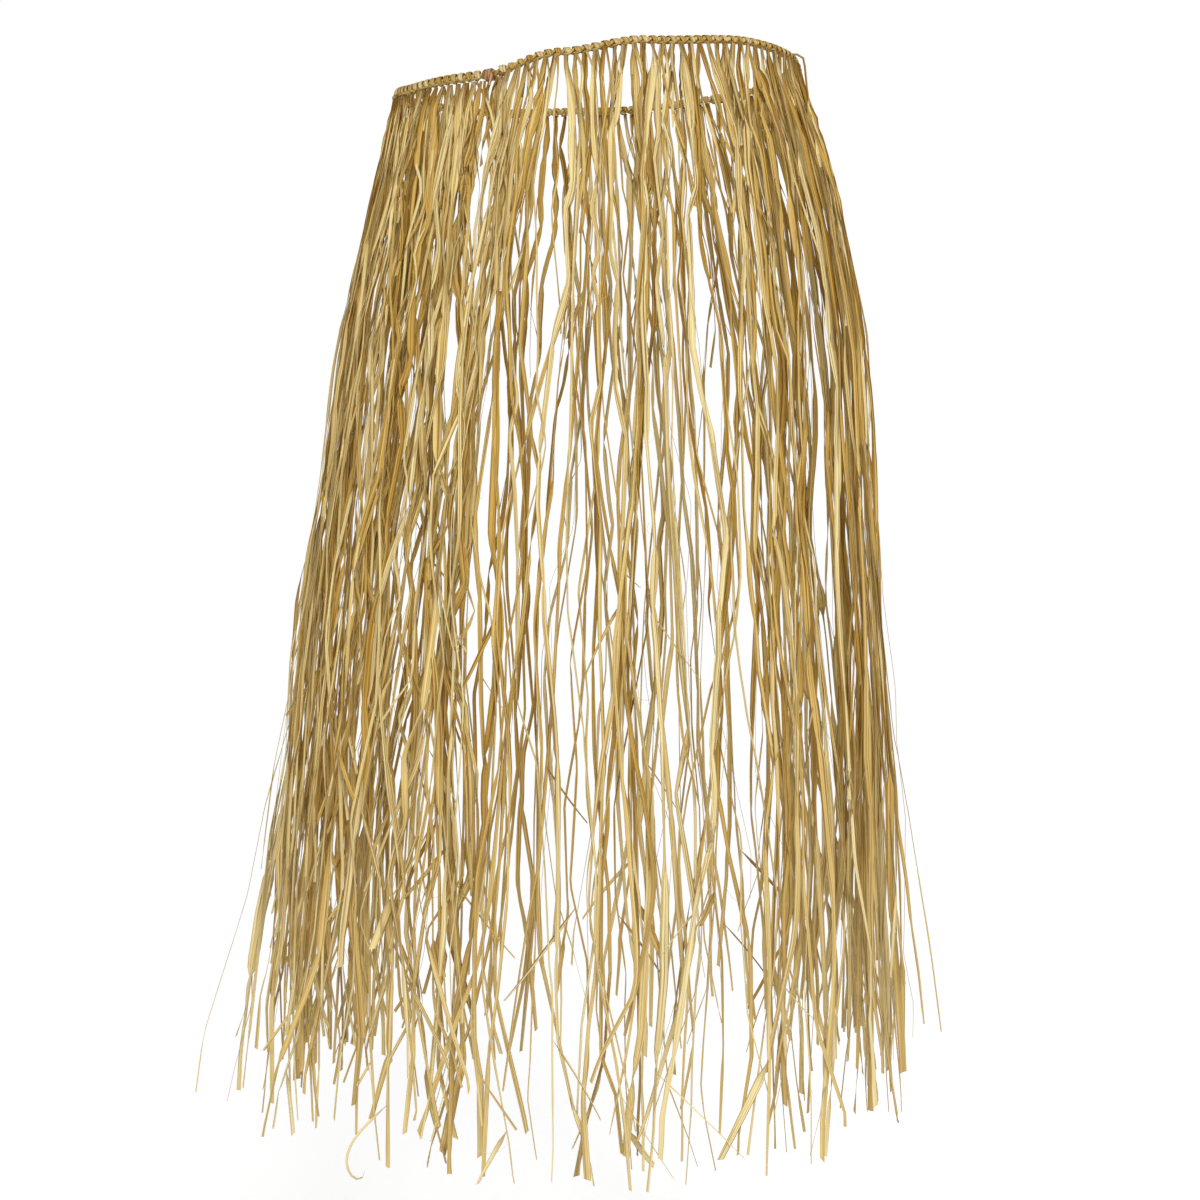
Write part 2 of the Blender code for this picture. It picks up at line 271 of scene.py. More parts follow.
def make_room(angles, widths, section, layer):
    """Nudges the ribbons of one layer apart until each has room for its width."""
    crowded = True
    while crowded:
        crowded = False
        for here in range(len(angles)):
            after = (here + 1) % len(angles)
            centre, aside = layer_point(section, layer, angles[here])
            distance = (layer_point(section, layer, angles[after])[0] - centre).dot(aside)
            short = (widths[here] + widths[after]) / 2 + LANE_GAP - distance
            if short > ROOM_TOLERANCE:
                nudge = short / metres_per_radian(angles[here], *half_sizes(section, angles[here])) / 2
                angles[here] -= nudge
                angles[after] += nudge
                crowded = True
    return angles


print("layers:", LAYERS, "with at least %.1f mm between two lanes" % (LANE_GAP / MM))

# %% [markdown]
# ## Lanes
#
# A lane is the room that one lock of raffia hangs in, and two lanes start at each knot. A lane has
# its own width, length, turn and slanted end, all drawn at random from the same seed, so the skirt
# comes out the same each time. A few stray ribbons leave the others: out, aside and short say how
# far at the hem, in mm.

# %% Lanes
PANELS = 12
KNOTS_PER_PANEL = 10
KNOTS = PANELS * KNOTS_PER_PANEL
LANES_PER_KNOT = 2
LANES = KNOTS * LANES_PER_KNOT
RAGGED_HEM = 46 * MM
WIDTH_RANGE = (0.72, 1.18)
CUT_SLANT = math.radians(40)
SEED = 768

Stray = namedtuple("Stray", "angle out aside short")
NO_STRAY = Stray(0, 0, 0, 0)
STRAYS = (
    Stray(-92, 52, 0, 0),
    Stray(-84, 18, -10, 8),
    Stray(-103, 20, 12, 0),
    Stray(-52, 14, -26, 0),
    Stray(-14, 15, 24, 0),
    Stray(22, 16, -34, 0),
    Stray(58, 14, 20, 14),
    Stray(84, 42, 6, 60),
    Stray(97, 24, -8, 45),
    Stray(131, 18, 22, 10),
    Stray(166, 22, -24, 26),
    Stray(201, 16, 20, 0),
    Stray(238, 24, -18, 18),
)


class Lane:
    """The room that one lock of raffia hangs in, with its own width, length and turn."""

    def __init__(self, number, start, dice):
        self.number = number
        self.second_of_pair = number % LANES_PER_KNOT == 1
        self.layer = number % LAYERS
        self.start = start
        self.width = dice.uniform(*WIDTH_RANGE)
        self.length = along_waist(start, "length") - RAGGED_HEM * dice.random() ** 2
        self.turn = dice.uniform(-1, 1)
        self.shakes = [dice.uniform(-1, 1) for _ in SECTIONS]
        self.slant = dice.uniform(-1, 1) * CUT_SLANT
        self.angles = []
        self.stray = NO_STRAY

    @property
    def part(self):
        """The part of the skirt that the lane starts in."""
        return part_at(self.start)


print("knots:", KNOTS, "lanes:", LANES, "strays:", len(STRAYS))

# %% [markdown]
# ## Laying out the lanes
#
# Neighbours take turns in the three layers, so a lane has its own layer's next lane three further
# on. The knots leave a gap at the tie, which closes further down. At each section, every layer
# strays and is given room, and each lane keeps the angle that it ends up at.

# %% Laying out the lanes
TIE_GAP = 13 * MM
TIE_GAP_CLOSES = 0.24
KNOT_PITCH = (WAIST_LENGTH - TIE_GAP) / KNOTS


def even_angles(gap):
    """Angles of all the lanes, evenly spaced round a waist with a gap at the tie."""
    pitch = (WAIST_LENGTH - gap) / LANES
    return [angle_at(gap / 2 + pitch * (number + 0.5)) for number in range(LANES)]


def nearest_lane(choice, degrees):
    """The lane of a choice that starts nearest to an angle."""
    angle = math.radians(degrees)
    return min(choice, key=lambda lane: abs((lane.start - angle + math.pi) % FULL_TURN - math.pi))


def lay_out_lanes():
    """Every lane in order round the waist, with neighbours in a layer kept apart."""
    dice = random.Random(SEED)
    starts = even_angles(TIE_GAP)
    closed = even_angles(0)
    lanes = [Lane(number, start, dice) for number, start in enumerate(starts)]
    for row, section in enumerate(SECTIONS):
        closing = ease(section.share / TIE_GAP_CLOSES)
        for layer in range(LAYERS):
            members = lanes[layer::LAYERS]
            angles = []
            for lane, start, even in zip(members, starts[layer::LAYERS], closed[layer::LAYERS]):
                angle = start + (even - start) * closing
                aside = strayed(layer, angle, section, lane.shakes[row])
                angles.append(angle + aside / metres_per_radian(angle, *half_sizes(section, angle)))
            widths = [lane.width * section.width * MM for lane in members]
            for lane, angle in zip(members, make_room(angles, widths, section, layer)):
                lane.angles.append(angle)
    for stray in STRAYS:
        lane = nearest_lane(lanes[OUTER_LAYER::LAYERS], stray.angle)
        lane.stray = stray
        lane.length = along_waist(lane.start, "length") - stray.short * MM
    return lanes


lanes = lay_out_lanes()
print("longest lane: %.0f mm" % (max(lane.length for lane in lanes) / MM))

# %% [markdown]
# ## Raffia colours
#
# Young raffia is pale, and it browns with age, at its edges and in its folds. Two colours also paint
# shade: the darkest brown at the roots under the knots and in the inner layers, and the crease shade
# in fine creases, which also darkens the fibres. The colours are given as a screen shows them, and a
# shader works in linear light, so they are converted.

# %% Raffia colours
def srgb(red, green, blue):
    """A colour as a screen shows it, made linear for the shader."""
    return tuple(((c / 255 + 0.055) / 1.055) ** 2.4 for c in (red, green, blue)) + (1,)


PALE_STRAW = srgb(223, 209, 159)
STRAW = srgb(216, 196, 135)
DRY_TAN = srgb(194, 160, 79)
# Brown of folds and worn edges, also used for painted shade at the roots and in the inner layers.
BROWN_FOLD_AND_SHADE = srgb(108, 70, 10)
AMBER = srgb(177, 138, 60)
# Painted shade for fine creases; it also darkens the fibres.
FIBRE_AND_CREASE_SHADE = srgb(188, 160, 100)
ROSE_BROWN = srgb(198, 158, 122)
print("straw in linear light:", [round(c, 3) for c in STRAW[:3]])

# %% [markdown]
# ## Shader helpers
#
# Each helper adds one kind of node. `grain` is a noise that is stretched along a ribbon, and moved on
# for each ribbon, so that no two have the same streaks. `fade` lets something come in gently between
# two values, and `coat` lays a colour over another by so much.

# %% Shader helpers
OWN_SHIFT = 37.0


def add_node(tree, kind, **settings):
    """A new node of a kind, with its settings."""
    node = tree.nodes.new(kind)
    for name, value in settings.items():
        setattr(node, name, value)
    return node


def calculate(tree, operation, first, second=0):
    """The result of a sum on two values, of which the second may be a plain number."""
    node = add_node(tree, "ShaderNodeMath", operation=operation)
    tree.links.new(first, node.inputs[0])
    if isinstance(second, (int, float)):
        node.inputs[1].default_value = second
    else:
        tree.links.new(second, node.inputs[1])
    return node.outputs[0]


def grain(tree, parts, across, along, detail):
    """Noise at so many waves across and along, read from a ribbon's own numbers."""
    join = add_node(tree, "ShaderNodeCombineXYZ")
    for socket, (name, waves) in enumerate((("across", across), ("along", along), ("own", OWN_SHIFT))):
        tree.links.new(calculate(tree, "MULTIPLY", parts[name], waves), join.inputs[socket])
    node = add_node(tree, "ShaderNodeTexNoise")
    node.inputs["Scale"].default_value = 1.0
    node.inputs["Detail"].default_value = detail
    tree.links.new(join.outputs[0], node.inputs["Vector"])
    return node.outputs["Fac"]


def fade(tree, value, limits, results):
    """Goes smoothly from one result to another while a value passes between two limits."""
    node = add_node(tree, "ShaderNodeMapRange", clamp=True, interpolation_type="SMOOTHSTEP")
    for name, number in zip(("From Min", "From Max", "To Min", "To Max"), (*limits, *results)):
        node.inputs[name].default_value = number
    tree.links.new(value, node.inputs["Value"])
    return node.outputs[0]


def ramp(tree, value, stops):
    """The colour that a value reads off a band of colours."""
    node = add_node(tree, "ShaderNodeValToRGB")
    band = node.color_ramp
    while len(band.elements) < len(stops):
        band.elements.new(0.5)
    for element, (place, colour) in zip(band.elements, stops):
        element.position = place
        element.color = colour
    tree.links.new(value, node.inputs["Fac"])
    return node.outputs["Color"]


def coat(tree, kind, factor, colour, paint):
    """Lays one even colour over another, as strongly as the factor says."""
    node = add_node(tree, "ShaderNodeMix", data_type="RGBA", blend_type=kind)
    tree.links.new(factor, node.inputs[0])
    tree.links.new(colour, node.inputs[6])
    node.inputs[7].default_value = paint
    return node.outputs[2]


print("each ribbon's pattern is moved on by up to", OWN_SHIFT)

# %% [markdown]
# ## Raffia material
#
# Raffia is straw coloured and almost matt, with fine streaks along the leaf, and browner folds and
# edges. Every ribbon carries five numbers in its mesh: how far across a point is, which face it is
# on, how far along, the ribbon's own tone, and a number that no other ribbon has. The tone is partly
# random and partly painted shade, browner in the inner layers. The streaks follow those numbers and
# not space, so they stay on the ribbon however it turns. The colour is built up in coats: fine
# fibres, amber patches, dark lines, painted shade in fine creases, worn edges, painted shade at the
# root under the knot, the pale end.
# Two fine bumps, from the streaks and the fibres, break up the light on it.

# %% Raffia material
NUMBERS = ("along", "across", "face", "tone", "own")
Grain = namedtuple("Grain", "across along detail")
GRAINS = {
    "streaks": Grain(2.6, 6.0, 4.0),
    "fibres": Grain(12.0, 14.0, 3.0),
    "patches": Grain(0.6, 13.0, 2.0),
    "lines": Grain(2.4, 5.0, 1.0),
    "creases": Grain(5.2, 8.0, 2.0),
}
BUMPS = (("streaks", 0.5 * MM), ("fibres", 0.2 * MM))
BUMP_STRENGTH = 0.6
ROUGHNESS = (0.42, 0.66)
SHEEN_OF_LEAF = 0.12


def raffia(name, pale, straw, tan, fold):
    """Dry raffia in four tones, from pale straw down to the brown of its folds and of painted shade."""
    material = bpy.data.materials.new(name)
    material.use_nodes = True
    tree = material.node_tree
    shader = tree.nodes["Principled BSDF"]
    parts = {
        part: add_node(tree, "ShaderNodeAttribute", attribute_name=part).outputs["Fac"] for part in NUMBERS
    }
    for part, waves in GRAINS.items():
        parts[part] = grain(tree, parts, *waves)

    def faded(part, limits, results):
        return fade(tree, parts[part], limits, results)

    # The tone carries painted shade: inner layers read further down the band, towards brown.
    streaked = faded("streaks", (0.30, 0.70), (0, 0.30))
    shade = calculate(tree, "ADD", streaked, faded("tone", (0, 1), (0, 0.62)))
    colour = ramp(tree, shade, ((0.10, pale), (0.34, straw), (0.66, tan), (0.95, fold)))

    patched = faded("patches", (0.52, 0.74), (0, 0.55))
    amber = calculate(tree, "MAXIMUM", patched, faded("face", (-0.8, 0), (0.34, 0)))
    amber = calculate(tree, "MULTIPLY", amber, faded("tone", (0, 0.8), (0.3, 1)))
    edge = fade(tree, calculate(tree, "ABSOLUTE", parts["across"]), (0.72, 1), (0, 0.85))
    worn = calculate(tree, "MULTIPLY", edge, faded("patches", (0.34, 0.56), (0.15, 1)))
    for kind, factor, paint in (
        ("MULTIPLY", faded("fibres", (0.48, 0.70), (0, 0.50)), FIBRE_AND_CREASE_SHADE),
        ("MIX", amber, AMBER),
        ("MIX", faded("lines", (0.58, 0.65), (0, 0.75)), fold),
        # Painted shade in fine creases.
        ("MULTIPLY", faded("creases", (0.52, 0.60), (0, 0.65)), FIBRE_AND_CREASE_SHADE),
        ("MIX", worn, fold),
        # Painted shade at the root, under the knot.
        ("MIX", faded("along", (0, 0.022), (0.55, 0)), fold),
        ("MIX", faded("along", (0.45, 0.74), (0, 0.22)), pale),
    ):
        colour = coat(tree, kind, factor, colour, paint)
    tree.links.new(colour, shader.inputs["Base Color"])

    normal = None
    for part, distance in BUMPS:
        bump = add_node(tree, "ShaderNodeBump")
        bump.inputs["Strength"].default_value = BUMP_STRENGTH
        bump.inputs["Distance"].default_value = distance
        tree.links.new(parts[part], bump.inputs["Height"])
        if normal is not None:
            tree.links.new(normal, bump.inputs["Normal"])
        normal = bump.outputs[0]
    tree.links.new(normal, shader.inputs["Normal"])
    tree.links.new(faded("fibres", (0.3, 0.7), ROUGHNESS), shader.inputs["Roughness"])
    shader.inputs["Specular IOR Level"].default_value = SHEEN_OF_LEAF
    return material


RAFFIA = raffia("raffia ribbon", PALE_STRAW, STRAW, DRY_TAN, BROWN_FOLD_AND_SHADE)
RAFFIA_CORD = raffia("raffia cord", STRAW, STRAW, DRY_TAN, BROWN_FOLD_AND_SHADE)
RAFFIA_TIE = raffia("raffia tie", DRY_TAN, ROSE_BROWN, ROSE_BROWN, BROWN_FOLD_AND_SHADE)
print("materials:", RAFFIA.name, RAFFIA_CORD.name, RAFFIA_TIE.name)

# %% [markdown]
# ## Drawing a strip
#
# A raffia ribbon is a flat strip a third of a millimetre thick, creased along its middle. A curve
# with a bevel could draw it, but not with a crease that opens and closes. So its section is one
# small face, which is extruded from station to station, and its corners are moved to their places
# at each. That draws the whole ribbon with its turns, and each new corner keeps the numbers that the
# material reads. The same helper draws narrow strips, cord and hairs from other sections.

# %% Sections and places
Corner = namedtuple("Corner", "across lift")
FLAT = tuple(
    Corner(*pair)
    for pair in ((-1, 0), (-0.5, 1), (0, 1), (0.5, 1), (1, 0), (0.5, -1), (0, -1), (-0.5, -1))
)
NARROW = tuple(Corner(*pair) for pair in ((-1, 0), (0, 1), (1, 0), (0, -1)))


def round_section(sides):
    """A regular section with so many sides."""
    turns = np.linspace(0, FULL_TURN, sides, endpoint=False)
    return tuple(Corner(math.cos(turn), math.sin(turn)) for turn in turns)


ROUND = round_section(8)
HAIR = round_section(3)
DEEPEST_CREASE = 0.95

# out, half_widths, turns, crease and ripple may be given once, or once for each station. A ripple is a
# pleat on both sides of the crease, and the slant is that of the cut end.
Shape = namedtuple("Shape", "out half_widths thickness turns crease slant ripple", defaults=(0, 0, 0, 0))


def directions(centres, out, turns):
    """Unit vectors along a strip, and across and square to it, turned about its own line."""
    along = np.gradient(centres, axis=0)
    along /= np.linalg.norm(along, axis=1, keepdims=True)
    side = np.cross(along, out)
    side /= np.linalg.norm(side, axis=1, keepdims=True)
    face = np.cross(side, along)
    across = side * np.cos(turns) + face * np.sin(turns)
    return along, across, np.cross(across, along)


def corner_places(section, centres, shape):
    """Where each corner of a section goes, at each station of a strip."""
    sizes = (shape.half_widths, shape.turns, shape.crease, shape.ripple)
    half_widths, turns, crease, ripple = (np.broadcast_to(size, len(centres))[:, None] for size in sizes)
    along, across, lift = directions(centres, np.asarray(shape.out), turns)
    share_across = np.array([corner.across for corner in section])
    share_lift = np.array([corner.lift for corner in section])
    folds = crease * (np.abs(share_across) - 0.5) + ripple * np.cos(FULL_TURN * share_across)
    raised = half_widths * folds + shape.thickness / 2 * share_lift
    sideways = half_widths * share_across * np.sqrt(1 - np.clip(crease, 0, DEEPEST_CREASE) ** 2)
    places = centres[:, None, :] + across[:, None, :] * sideways[..., None]
    places = places + lift[:, None, :] * raised[..., None]
    places[-1] += along[-1] * (sideways[-1] * math.tan(shape.slant))[:, None]
    return places


print("corners of the sections:", [len(section) for section in (FLAT, NARROW, ROUND, HAIR)])

# %% [markdown]
# ## Extruding a strip and finishing a piece
#
# The first section gets its numbers, and the extrusion copies them on. Only the distance along
# changes from station to station. A finished piece has crisp edges where a ribbon is folded, and
# smooth ones where it only bends. It also hides the nodes of the frame that it stands for.

# %% Extruding and finishing
FOLD_LINE_ANGLE = math.radians(13)
BEND_LINE_ANGLE = math.radians(30)
SAME_STATION = 0.01 * MM


def draw_strip(body, section, centres, tone, own, shape):
    """Extrudes a section along centres and adds the closed strip to a body."""
    centres = np.asarray(centres)
    places = corner_places(section, centres, shape).tolist()
    travelled = np.cumsum(np.linalg.norm(np.diff(centres, axis=0), axis=1)).tolist()
    mesh = bmesh.new()
    corner_layer = mesh.verts.layers.int.new("corner")
    layers = {name: mesh.verts.layers.float.new(name) for name in NUMBERS}
    first = []
    for number, (corner, place) in enumerate(zip(section, places[0])):
        vertex = mesh.verts.new(place)
        vertex[corner_layer] = number
        for name, value in (("across", corner.across), ("face", corner.lift), ("tone", tone), ("own", own)):
            vertex[layers[name]] = value
        first.append(vertex)
    face = mesh.faces.new(first)
    for station, distance in zip(places[1:], travelled):
        face = bmesh.ops.extrude_discrete_faces(mesh, faces=[face])["faces"][0]
        for vertex in face.verts:
            vertex.co = station[vertex[corner_layer]]
            vertex[layers["along"]] = distance
    bmesh.ops.holes_fill(mesh, edges=[edge for edge in mesh.edges if edge.is_boundary], sides=len(section))
    bmesh.ops.recalc_face_normals(mesh, faces=mesh.faces)
    strip = bpy.data.meshes.new("strip")
    mesh.to_mesh(strip)
    mesh.free()
    body.from_mesh(strip)
    bpy.data.meshes.remove(strip)


def mark_folds(body):
    """Makes edges along a ribbon crisp where it is folded, and those across it only at hard bends."""
    along_layer = body.verts.layers.float["along"]
    for edge in body.edges:
        lengthwise = abs(edge.verts[0][along_layer] - edge.verts[1][along_layer]) > SAME_STATION
        edge.smooth = edge.calc_face_angle(0.0) < (FOLD_LINE_ANGLE if lengthwise else BEND_LINE_ANGLE)
    for face in body.faces:
        face.smooth = True


def finish_piece(name, body, material, slot, *nodes):
    """Turns a body into a piece of the skirt that stands for its nodes of the frame."""
    mark_folds(body)
    data = bpy.data.meshes.new(name)
    body.to_mesh(data)
    body.free()
    data.materials.append(material)
    piece = bpy.data.objects.new(name, data)
    bpy.context.scene.collection.objects.link(piece)
    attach(piece, "root")
    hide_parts(*nodes)
    return piece


print("crisp from %.0f degrees" % math.degrees(FOLD_LINE_ANGLE))

# %% [markdown]
# ## Bends and clumps
#
# Dry raffia isn't limp: it keeps every bend that it was folded into, and hangs straight in between.
# A cloth simulation would let it hang like silk. So the drops at which a ribbon bends are drawn at
# random, closer together near its knot. Neighbours are also pulled together into clumps, with gaps
# between them, by a sum of waves round the waist.

# %% Bends and clumps
ROOT_HOLD = 13 * MM
BEND_SPACING = (26, 78)
BEND_CLOSEST = 0.6
BEND_STRETCH = 2.4
CLUMP_WAVES = ((11, 5.5), (19, 4.4), (37, 3.2))
CLUMP_SLIDE = 1.7
CLUMP_GROWTH = 0.8
CLUMP_START = 0.07
CLUMP_LAYER_PHASE = 0.5


def bends(dice, drops):
    """Drops at which a dry ribbon bends: close together near the knot, further apart lower down."""
    places = [0.0, ROOT_HOLD]
    while places[-1] < drops[-1]:
        stretch_out = BEND_CLOSEST + BEND_STRETCH * places[-1] / LONGEST_RIBBON
        places.append(places[-1] + dice.uniform(*BEND_SPACING) * stretch_out * MM)
    return np.array([place for place in places if place < drops[-1] - ROOT_HOLD] + [drops[-1]])


def clumps(angles, shares, layer):
    """Sideways pull that gathers neighbours into clumps, with gaps between them."""
    pull = np.zeros_like(angles)
    for waves, reach in CLUMP_WAVES:
        slide = CLUMP_SLIDE * math.cos(waves) * shares
        phase = waves * waves + CLUMP_LAYER_PHASE * layer
        pull += reach * MM * np.sin(waves * (angles + slide / 4) + phase)
    pull *= 1 + CLUMP_GROWTH * shares
    return pull * np.clip(shares / CLUMP_START, 0, 1)


print("clumps: %d, %d and %d round the waist" % tuple(waves for waves, reach in CLUMP_WAVES))

# %% [markdown]
# ## Where a ribbon hangs
#
# Each lock keeps to its lane. Its path is read from the sections, but only at its own bends, and runs
# straight between them. A stray ribbon eases away from the others over its lower half.

# %% Paths
ROOT_OUT = 3.7 * MM
KNOT_DROP = 6.5 * MM
STRAY_LEAVES = 0.50

AT_KNOTS = {
    "left": WAIST_HALF_WIDTH + ROOT_OUT,
    "right": WAIST_HALF_WIDTH + ROOT_OUT,
    "front": WAIST_HALF_DEPTH + ROOT_OUT,
    "back": WAIST_HALF_DEPTH + ROOT_OUT,
    "step": 0.0,
}
ROWS = {
    column: np.array([at_knots / MM] + [getattr(section, column) for section in SECTIONS]) * MM
    for column, at_knots in AT_KNOTS.items()
}
ROW_SHARES = np.array([0.0] + [section.share for section in SECTIONS])
ROW_TURN = np.radians([0.0] + [section.turn for section in SECTIONS])


def read_rows(shares, chosen, column, other):
    """A column of the sections at shares of the length, or another column where it isn't chosen."""
    first, second = (np.interp(shares, ROW_SHARES, ROWS[name]) for name in (column, other))
    return np.where(chosen, first, second)


def read_vectors(drops, places, vectors):
    """Vectors at drops, read between the places where they are known."""
    return np.stack([np.interp(drops, places, vectors[:, axis]) for axis in range(3)], axis=-1)


def lane_path(lane, drops, depth, dice):
    """Centres and directions out and aside, at drops below the knots. depth is in layer steps, outwards."""
    places = bends(dice, drops)
    shares = places / LONGEST_RIBBON
    angles = np.interp(shares, ROW_SHARES, [lane.start] + lane.angles)
    right, front = np.sin(angles), np.cos(angles)
    half_width = read_rows(shares, right > 0, "right", "left")
    half_depth = read_rows(shares, front > 0, "front", "back")
    out = np.stack([half_depth * right, -half_width * front, np.zeros_like(angles)], axis=1)
    out /= np.linalg.norm(out, axis=1, keepdims=True)
    side = np.cross(UP, out)
    steps = np.interp(shares, ROW_SHARES, ROWS["step"]) * (depth - OUTER_LAYER)
    leaving = ease((shares - STRAY_LEAVES) / (1 - STRAY_LEAVES))
    centres = np.stack([half_width * right, -half_depth * front, -places], axis=1)
    centres += side * clumps(angles, shares, lane.layer)[:, None]
    centres += out * (steps + lane.stray.out * MM * leaving)[:, None]
    centres += side * (lane.stray.aside * MM * leaving ** 2)[:, None]
    centres[:, 2] += along_waist(lane.start, "height") - KNOT_DROP
    return tuple(read_vectors(drops, places, vectors) for vectors in (centres, out, side))


print("paths: %.0f mm from the knots to the lowest end" % (LONGEST_RIBBON / MM))

# %% [markdown]
# ## Leaving the lane
#
# A strip doesn't keep exactly to its lane. It zigzags a little, further towards the hem. A few slant
# across their neighbours, which knits the fringe together, and a loose end leans off to one side.
# Each of these is one number for each drop, in metres where it moves a strip. The zigzag also makes
# widths and creases uneven, and there it is a share.

# %% Leaving the lane
FIRST_TURNING = (6, 25)
DIAGONAL = 30 * MM
DIAGONAL_SHARE = 0.2
DIAGONAL_HIGHEST = 0.1
DIAGONAL_SHORTEST = 0.2
FLICK_LENGTH = (40, 150)
ZIGZAG_GROWTH = 0.55


def turning_points(dice, drops, spacing, reach, growth=ZIGZAG_GROWTH):
    """Straight runs between random turning points: none at the knot, and up to reach at the hem."""
    places = [0.0, dice.uniform(*FIRST_TURNING) * MM]
    offsets = [0.0, 0.0]
    while places[-1] < drops[-1]:
        places.append(places[-1] + dice.uniform(*spacing) * MM)
        grown = min(places[-1] / LONGEST_RIBBON, 1) ** growth
        offsets.append(dice.uniform(-1, 1) * reach * grown)
    return np.interp(drops, places, offsets)


def long_diagonal(dice, drops):
    """Some strips cross their neighbours on a long slant."""
    if dice.random() > DIAGONAL_SHARE:
        return np.zeros_like(drops)
    start, end = sorted((dice.uniform(DIAGONAL_HIGHEST, 1), dice.uniform(DIAGONAL_HIGHEST, 1)))
    crossing = (drops / LONGEST_RIBBON - start) / max(end - start, DIAGONAL_SHORTEST)
    return dice.uniform(-1, 1) * DIAGONAL * np.clip(crossing, 0, 1)


def flick(dice, drops, reach):
    """The loose end of a strip leans off to one side over its last few centimetres."""
    length = dice.uniform(*FLICK_LENGTH) * MM
    lean = np.clip((drops - drops[-1] + length) / length, 0, 1)
    return lean * dice.uniform(-1, 1) * reach


print("long slants: %.0f mm at most, on one strip in %.0f" % (DIAGONAL / MM, 1 / DIAGONAL_SHARE))

# %% [markdown]
# ## Folds and twists
#
# Down its path a strip has sharp folds. Between two folds it is flat and straight, and faces one way.
# At a fold it steps aside, turns and is pinched narrow, and some strips turn right over. A wide
# ribbon steps and swings less than the strips torn from it. aside multiplies the growth of its
# steps, swing is in radians, and out and flick are in mm.

# %% Folds and twists
FIRST_FOLD = (6, 26)
FOLD_SPACING = (18, 70)
FOLD_CLOSEST = 0.55
FOLD_LENGTH = (6, 42)
HALF_TURN_LENGTH = (20, 40)
PINCH_LENGTH = 5 * MM
OUT_SPACING = (40, 120)
OUT_GROWTH = 0.4

Folding = namedtuple("Folding", "aside swing half_turns out flick")
RIBBON_FOLDING = Folding(aside=1.0, swing=0.95, half_turns=(0, 1, 1, 2, 3), out=4.5, flick=18)
STRIP_FOLDING = Folding(aside=1.5, swing=1.3, half_turns=(0, 1, 2), out=5, flick=24)


class Folds:
    """The sharp folds down one strip: straight flat stretches, with a turn and a pinch between them."""

    def __init__(self, dice, drops, kinks, folding):
        half_turns = dice.choice(folding.half_turns)
        self.drops = drops
        self.places = [dice.uniform(*FIRST_FOLD) * MM]
        while self.places[-1] < drops[-1]:
            stretch_out = FOLD_CLOSEST + kinks.spread * self.places[-1] / LONGEST_RIBBON
            self.places.append(self.places[-1] + dice.uniform(*FOLD_SPACING) * stretch_out * MM)
        self.asides = []
        for share in [place / LONGEST_RIBBON for place in self.places]:
            reach = kinks.aside + kinks.growth * folding.aside * share
            self.asides.append(dice.uniform(-1, 1) * reach * MM)
        self.facing = [dice.uniform(-1, 1) * folding.swing for _ in self.places]
        self.lengths = [dice.uniform(*FOLD_LENGTH) * MM for _ in self.places]
        for _ in range(half_turns):
            first = dice.randrange(len(self.places))
            turn = dice.choice((-math.pi, math.pi))
            self.facing[first:] = [angle + turn for angle in self.facing[first:]]
            self.lengths[first] = dice.uniform(*HALF_TURN_LENGTH) * MM
        self.pinches = [dice.uniform(0, kinks.pinch) for _ in self.places]

    def aside(self):
        """How far the strip lies to one side of its path, at each drop."""
        return np.interp(self.drops, [0.0] + self.places, [0.0] + self.asides)

    def turns(self):
        """How far the strip is turned about its own line, at each drop."""
        turns = np.zeros_like(self.drops)
        before = 0.0
        for place, length, facing in zip(self.places, self.lengths, self.facing):
            turns += (facing - before) * np.clip((self.drops - place) / length + 0.5, 0, 1)
            before = facing
        return turns

    def widths(self):
        """How much of its width the strip keeps, at each drop."""
        widths = np.ones_like(self.drops)
        for place, pinch in zip(self.places, self.pinches):
            widths *= 1 - pinch * np.exp(-((self.drops - place) / PINCH_LENGTH) ** 2)
        return widths


def folded_path(lane, drops, depth, folding, dice):
    """The path of a folded strip in its lane: centres, directions out and aside, and its folds."""
    centres, out, side = lane_path(lane, drops, depth, dice)
    folds = Folds(dice, drops, lane.part.kinks, folding)
    centres = centres + side * (folds.aside() + long_diagonal(dice, drops))[:, None]
    centres = centres + out * turning_points(dice, drops, OUT_SPACING, folding.out * MM, OUT_GROWTH)[:, None]
    centres = centres + side * flick(dice, drops, folding.flick * MM)[:, None]
    return centres, out, side, folds


print("folds: %d to %d mm apart near the knots" % tuple(FOLD_CLOSEST * mm for mm in FOLD_SPACING))

# %% [markdown]
# ## Torn strips, leaves and curls
#
# A dry ribbon tears. A torn strip starts at some share of the ribbon's length and leans away from
# it, from one angle to another, in degrees. A small change of angle makes a straight torn bit, and a
# large one makes a curl. A leaf is a wide one, torn off near the hem. Lengths and half widths are in
# mm, and the bend says how late the angle changes.

# %% Torn strips
STRIP_THICKNESS = 0.3 * MM
TORN_STATIONS = 16
TORN_HELD = 0.55
TORN_OPENS = 0.2
TORN_ROOT = 0.15
TORN_TAPER = 0.2
TORN_OUT = 0.12
TORN_CREASE = 0.12
TORN_CUT = 0.5
TORN_TWIST = {NARROW: 1.0, FLAT: 0.35, HAIR: 0.0}

Torn = namedtuple("Torn", "share length lean_from lean_to half_width section bend", defaults=(1.5,))


